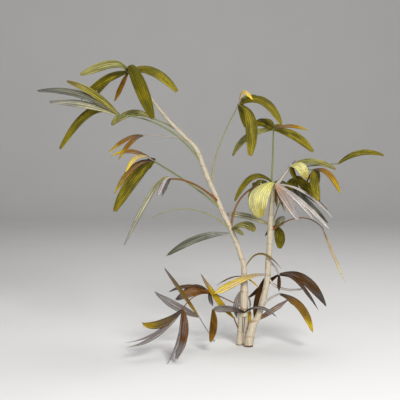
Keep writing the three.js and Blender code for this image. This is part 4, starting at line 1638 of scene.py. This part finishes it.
@dataclass
class Studio:
    """Plain pale floor, soft light and the photograph's camera."""

    aim: Triple = (-0.126, 0.0, 0.441)
    distance: float = 3.0
    elevation: float = 5.0
    lens: float = 90.0
    sensor: float = 36.0
    floor_half: float = 8.0
    wall_radius: float = 1.6
    wall_start: float = 3.6
    below_ground: float = 0.0004
    dark: Triple = (226, 225, 223)
    light: Triple = (231, 230, 228)
    cloud_scale: float = 3.0
    roughness: float = 0.9
    sky: float = 0.16
    lamps: tuple[tuple[str, Triple, float, float], ...] = (
        ("key", (1.0, -3.0, 2.2), 1.1, 124.0),
        ("fill", (-1.2, -3.1, 1.0), 1.8, 38.0),
        ("top", (0.4, 0.9, 3.2), 1.6, 40.0),
    )

    def floor(self) -> None:
        """Make the floor, which rises into a wall behind the plant."""
        mesh = bmesh.new()
        bmesh.ops.create_grid(mesh, x_segments=4, y_segments=48, size=self.floor_half)
        for corner in mesh.verts:
            beyond = corner.co.y - self.wall_start
            if beyond > 0.0:
                angle = min(beyond / self.wall_radius, math.pi / 2.0)
                climb = max(0.0, beyond - self.wall_radius * math.pi / 2.0)
                corner.co.y = self.wall_start + self.wall_radius * math.sin(angle)
                corner.co.z = self.wall_radius * (1.0 - math.cos(angle)) + climb
            corner.co.z -= self.below_ground
        for face in mesh.faces:
            face.smooth = True
        maker = Shading("pale_floor")
        cloud = maker.noise(maker.place(), self.cloud_scale)
        shade = maker.mix(cloud, paint(self.dark), paint(self.light))
        maker.coat({"Base Color": shade, "Roughness": self.roughness})
        join_meshes("floor", [mesh], [maker.material])

    def lamp(self, name: str, place: Triple, size: float, power: float) -> None:
        """Add a soft lamp that faces the plant.

        Args:
            name: the lamp's name.
            place: where it stands, in metres.
            size: width of its face.
            power: in watts.
        """
        light = bpy.data.lights.new(name, "AREA")
        light.shape = "SQUARE"
        light.size = size
        light.energy = power
        lamp = bpy.data.objects.new(name, light)
        lamp.location = place
        toward = Vector(self.aim) - Vector(place)
        lamp.rotation_euler = toward.to_track_quat("-Z", "Y").to_euler()
        bpy.context.scene.collection.objects.link(lamp)

    def camera(self) -> None:
        """Set the camera at the photograph's viewing angle."""
        data = bpy.data.cameras.new("camera")
        data.lens = self.lens
        data.sensor_width = self.sensor
        lift = math.radians(self.elevation)
        back = Vector((0.0, -math.cos(lift), math.sin(lift)))
        view = bpy.data.objects.new("camera", data)
        view.location = Vector(self.aim) + back * self.distance
        view.rotation_euler = Euler((math.pi / 2.0 - lift, 0.0, 0.0))
        bpy.context.scene.collection.objects.link(view)
        bpy.context.scene.camera = view

    def build(self) -> None:
        """Set up the floor, the lamps, the sky and the camera."""
        self.floor()
        for lamp in self.lamps:
            self.lamp(*lamp)
        world = bpy.data.worlds.new("sky")
        world.use_nodes = True
        light = world.node_tree.nodes["Background"].inputs
        light["Color"].default_value = (1.0, 1.0, 1.0, 1.0)
        light["Strength"].default_value = self.sky
        bpy.context.scene.world = world
        bpy.context.scene.view_settings.view_transform = "Standard"
        self.camera()


def main() -> None:
    """Build the studio, the canes and the fronds, and report each piece."""
    logging.basicConfig(level=logging.INFO, format="%(name)s: %(message)s")
    Studio().build()
    wardrobe = Wardrobe()
    for cane in CANES:
        piece = cane.build(wardrobe)
        LOG.info("%s: %d faces", piece.name, len(piece.data.polygons))
    seed = 1
    for frond in FRONDS:
        piece = frond.build(wardrobe, seed)
        seed += len(frond.leaflets) + 1
        LOG.info("%s: %d faces", piece.name, len(piece.data.polygons))


if __name__ == "__main__":
    main()
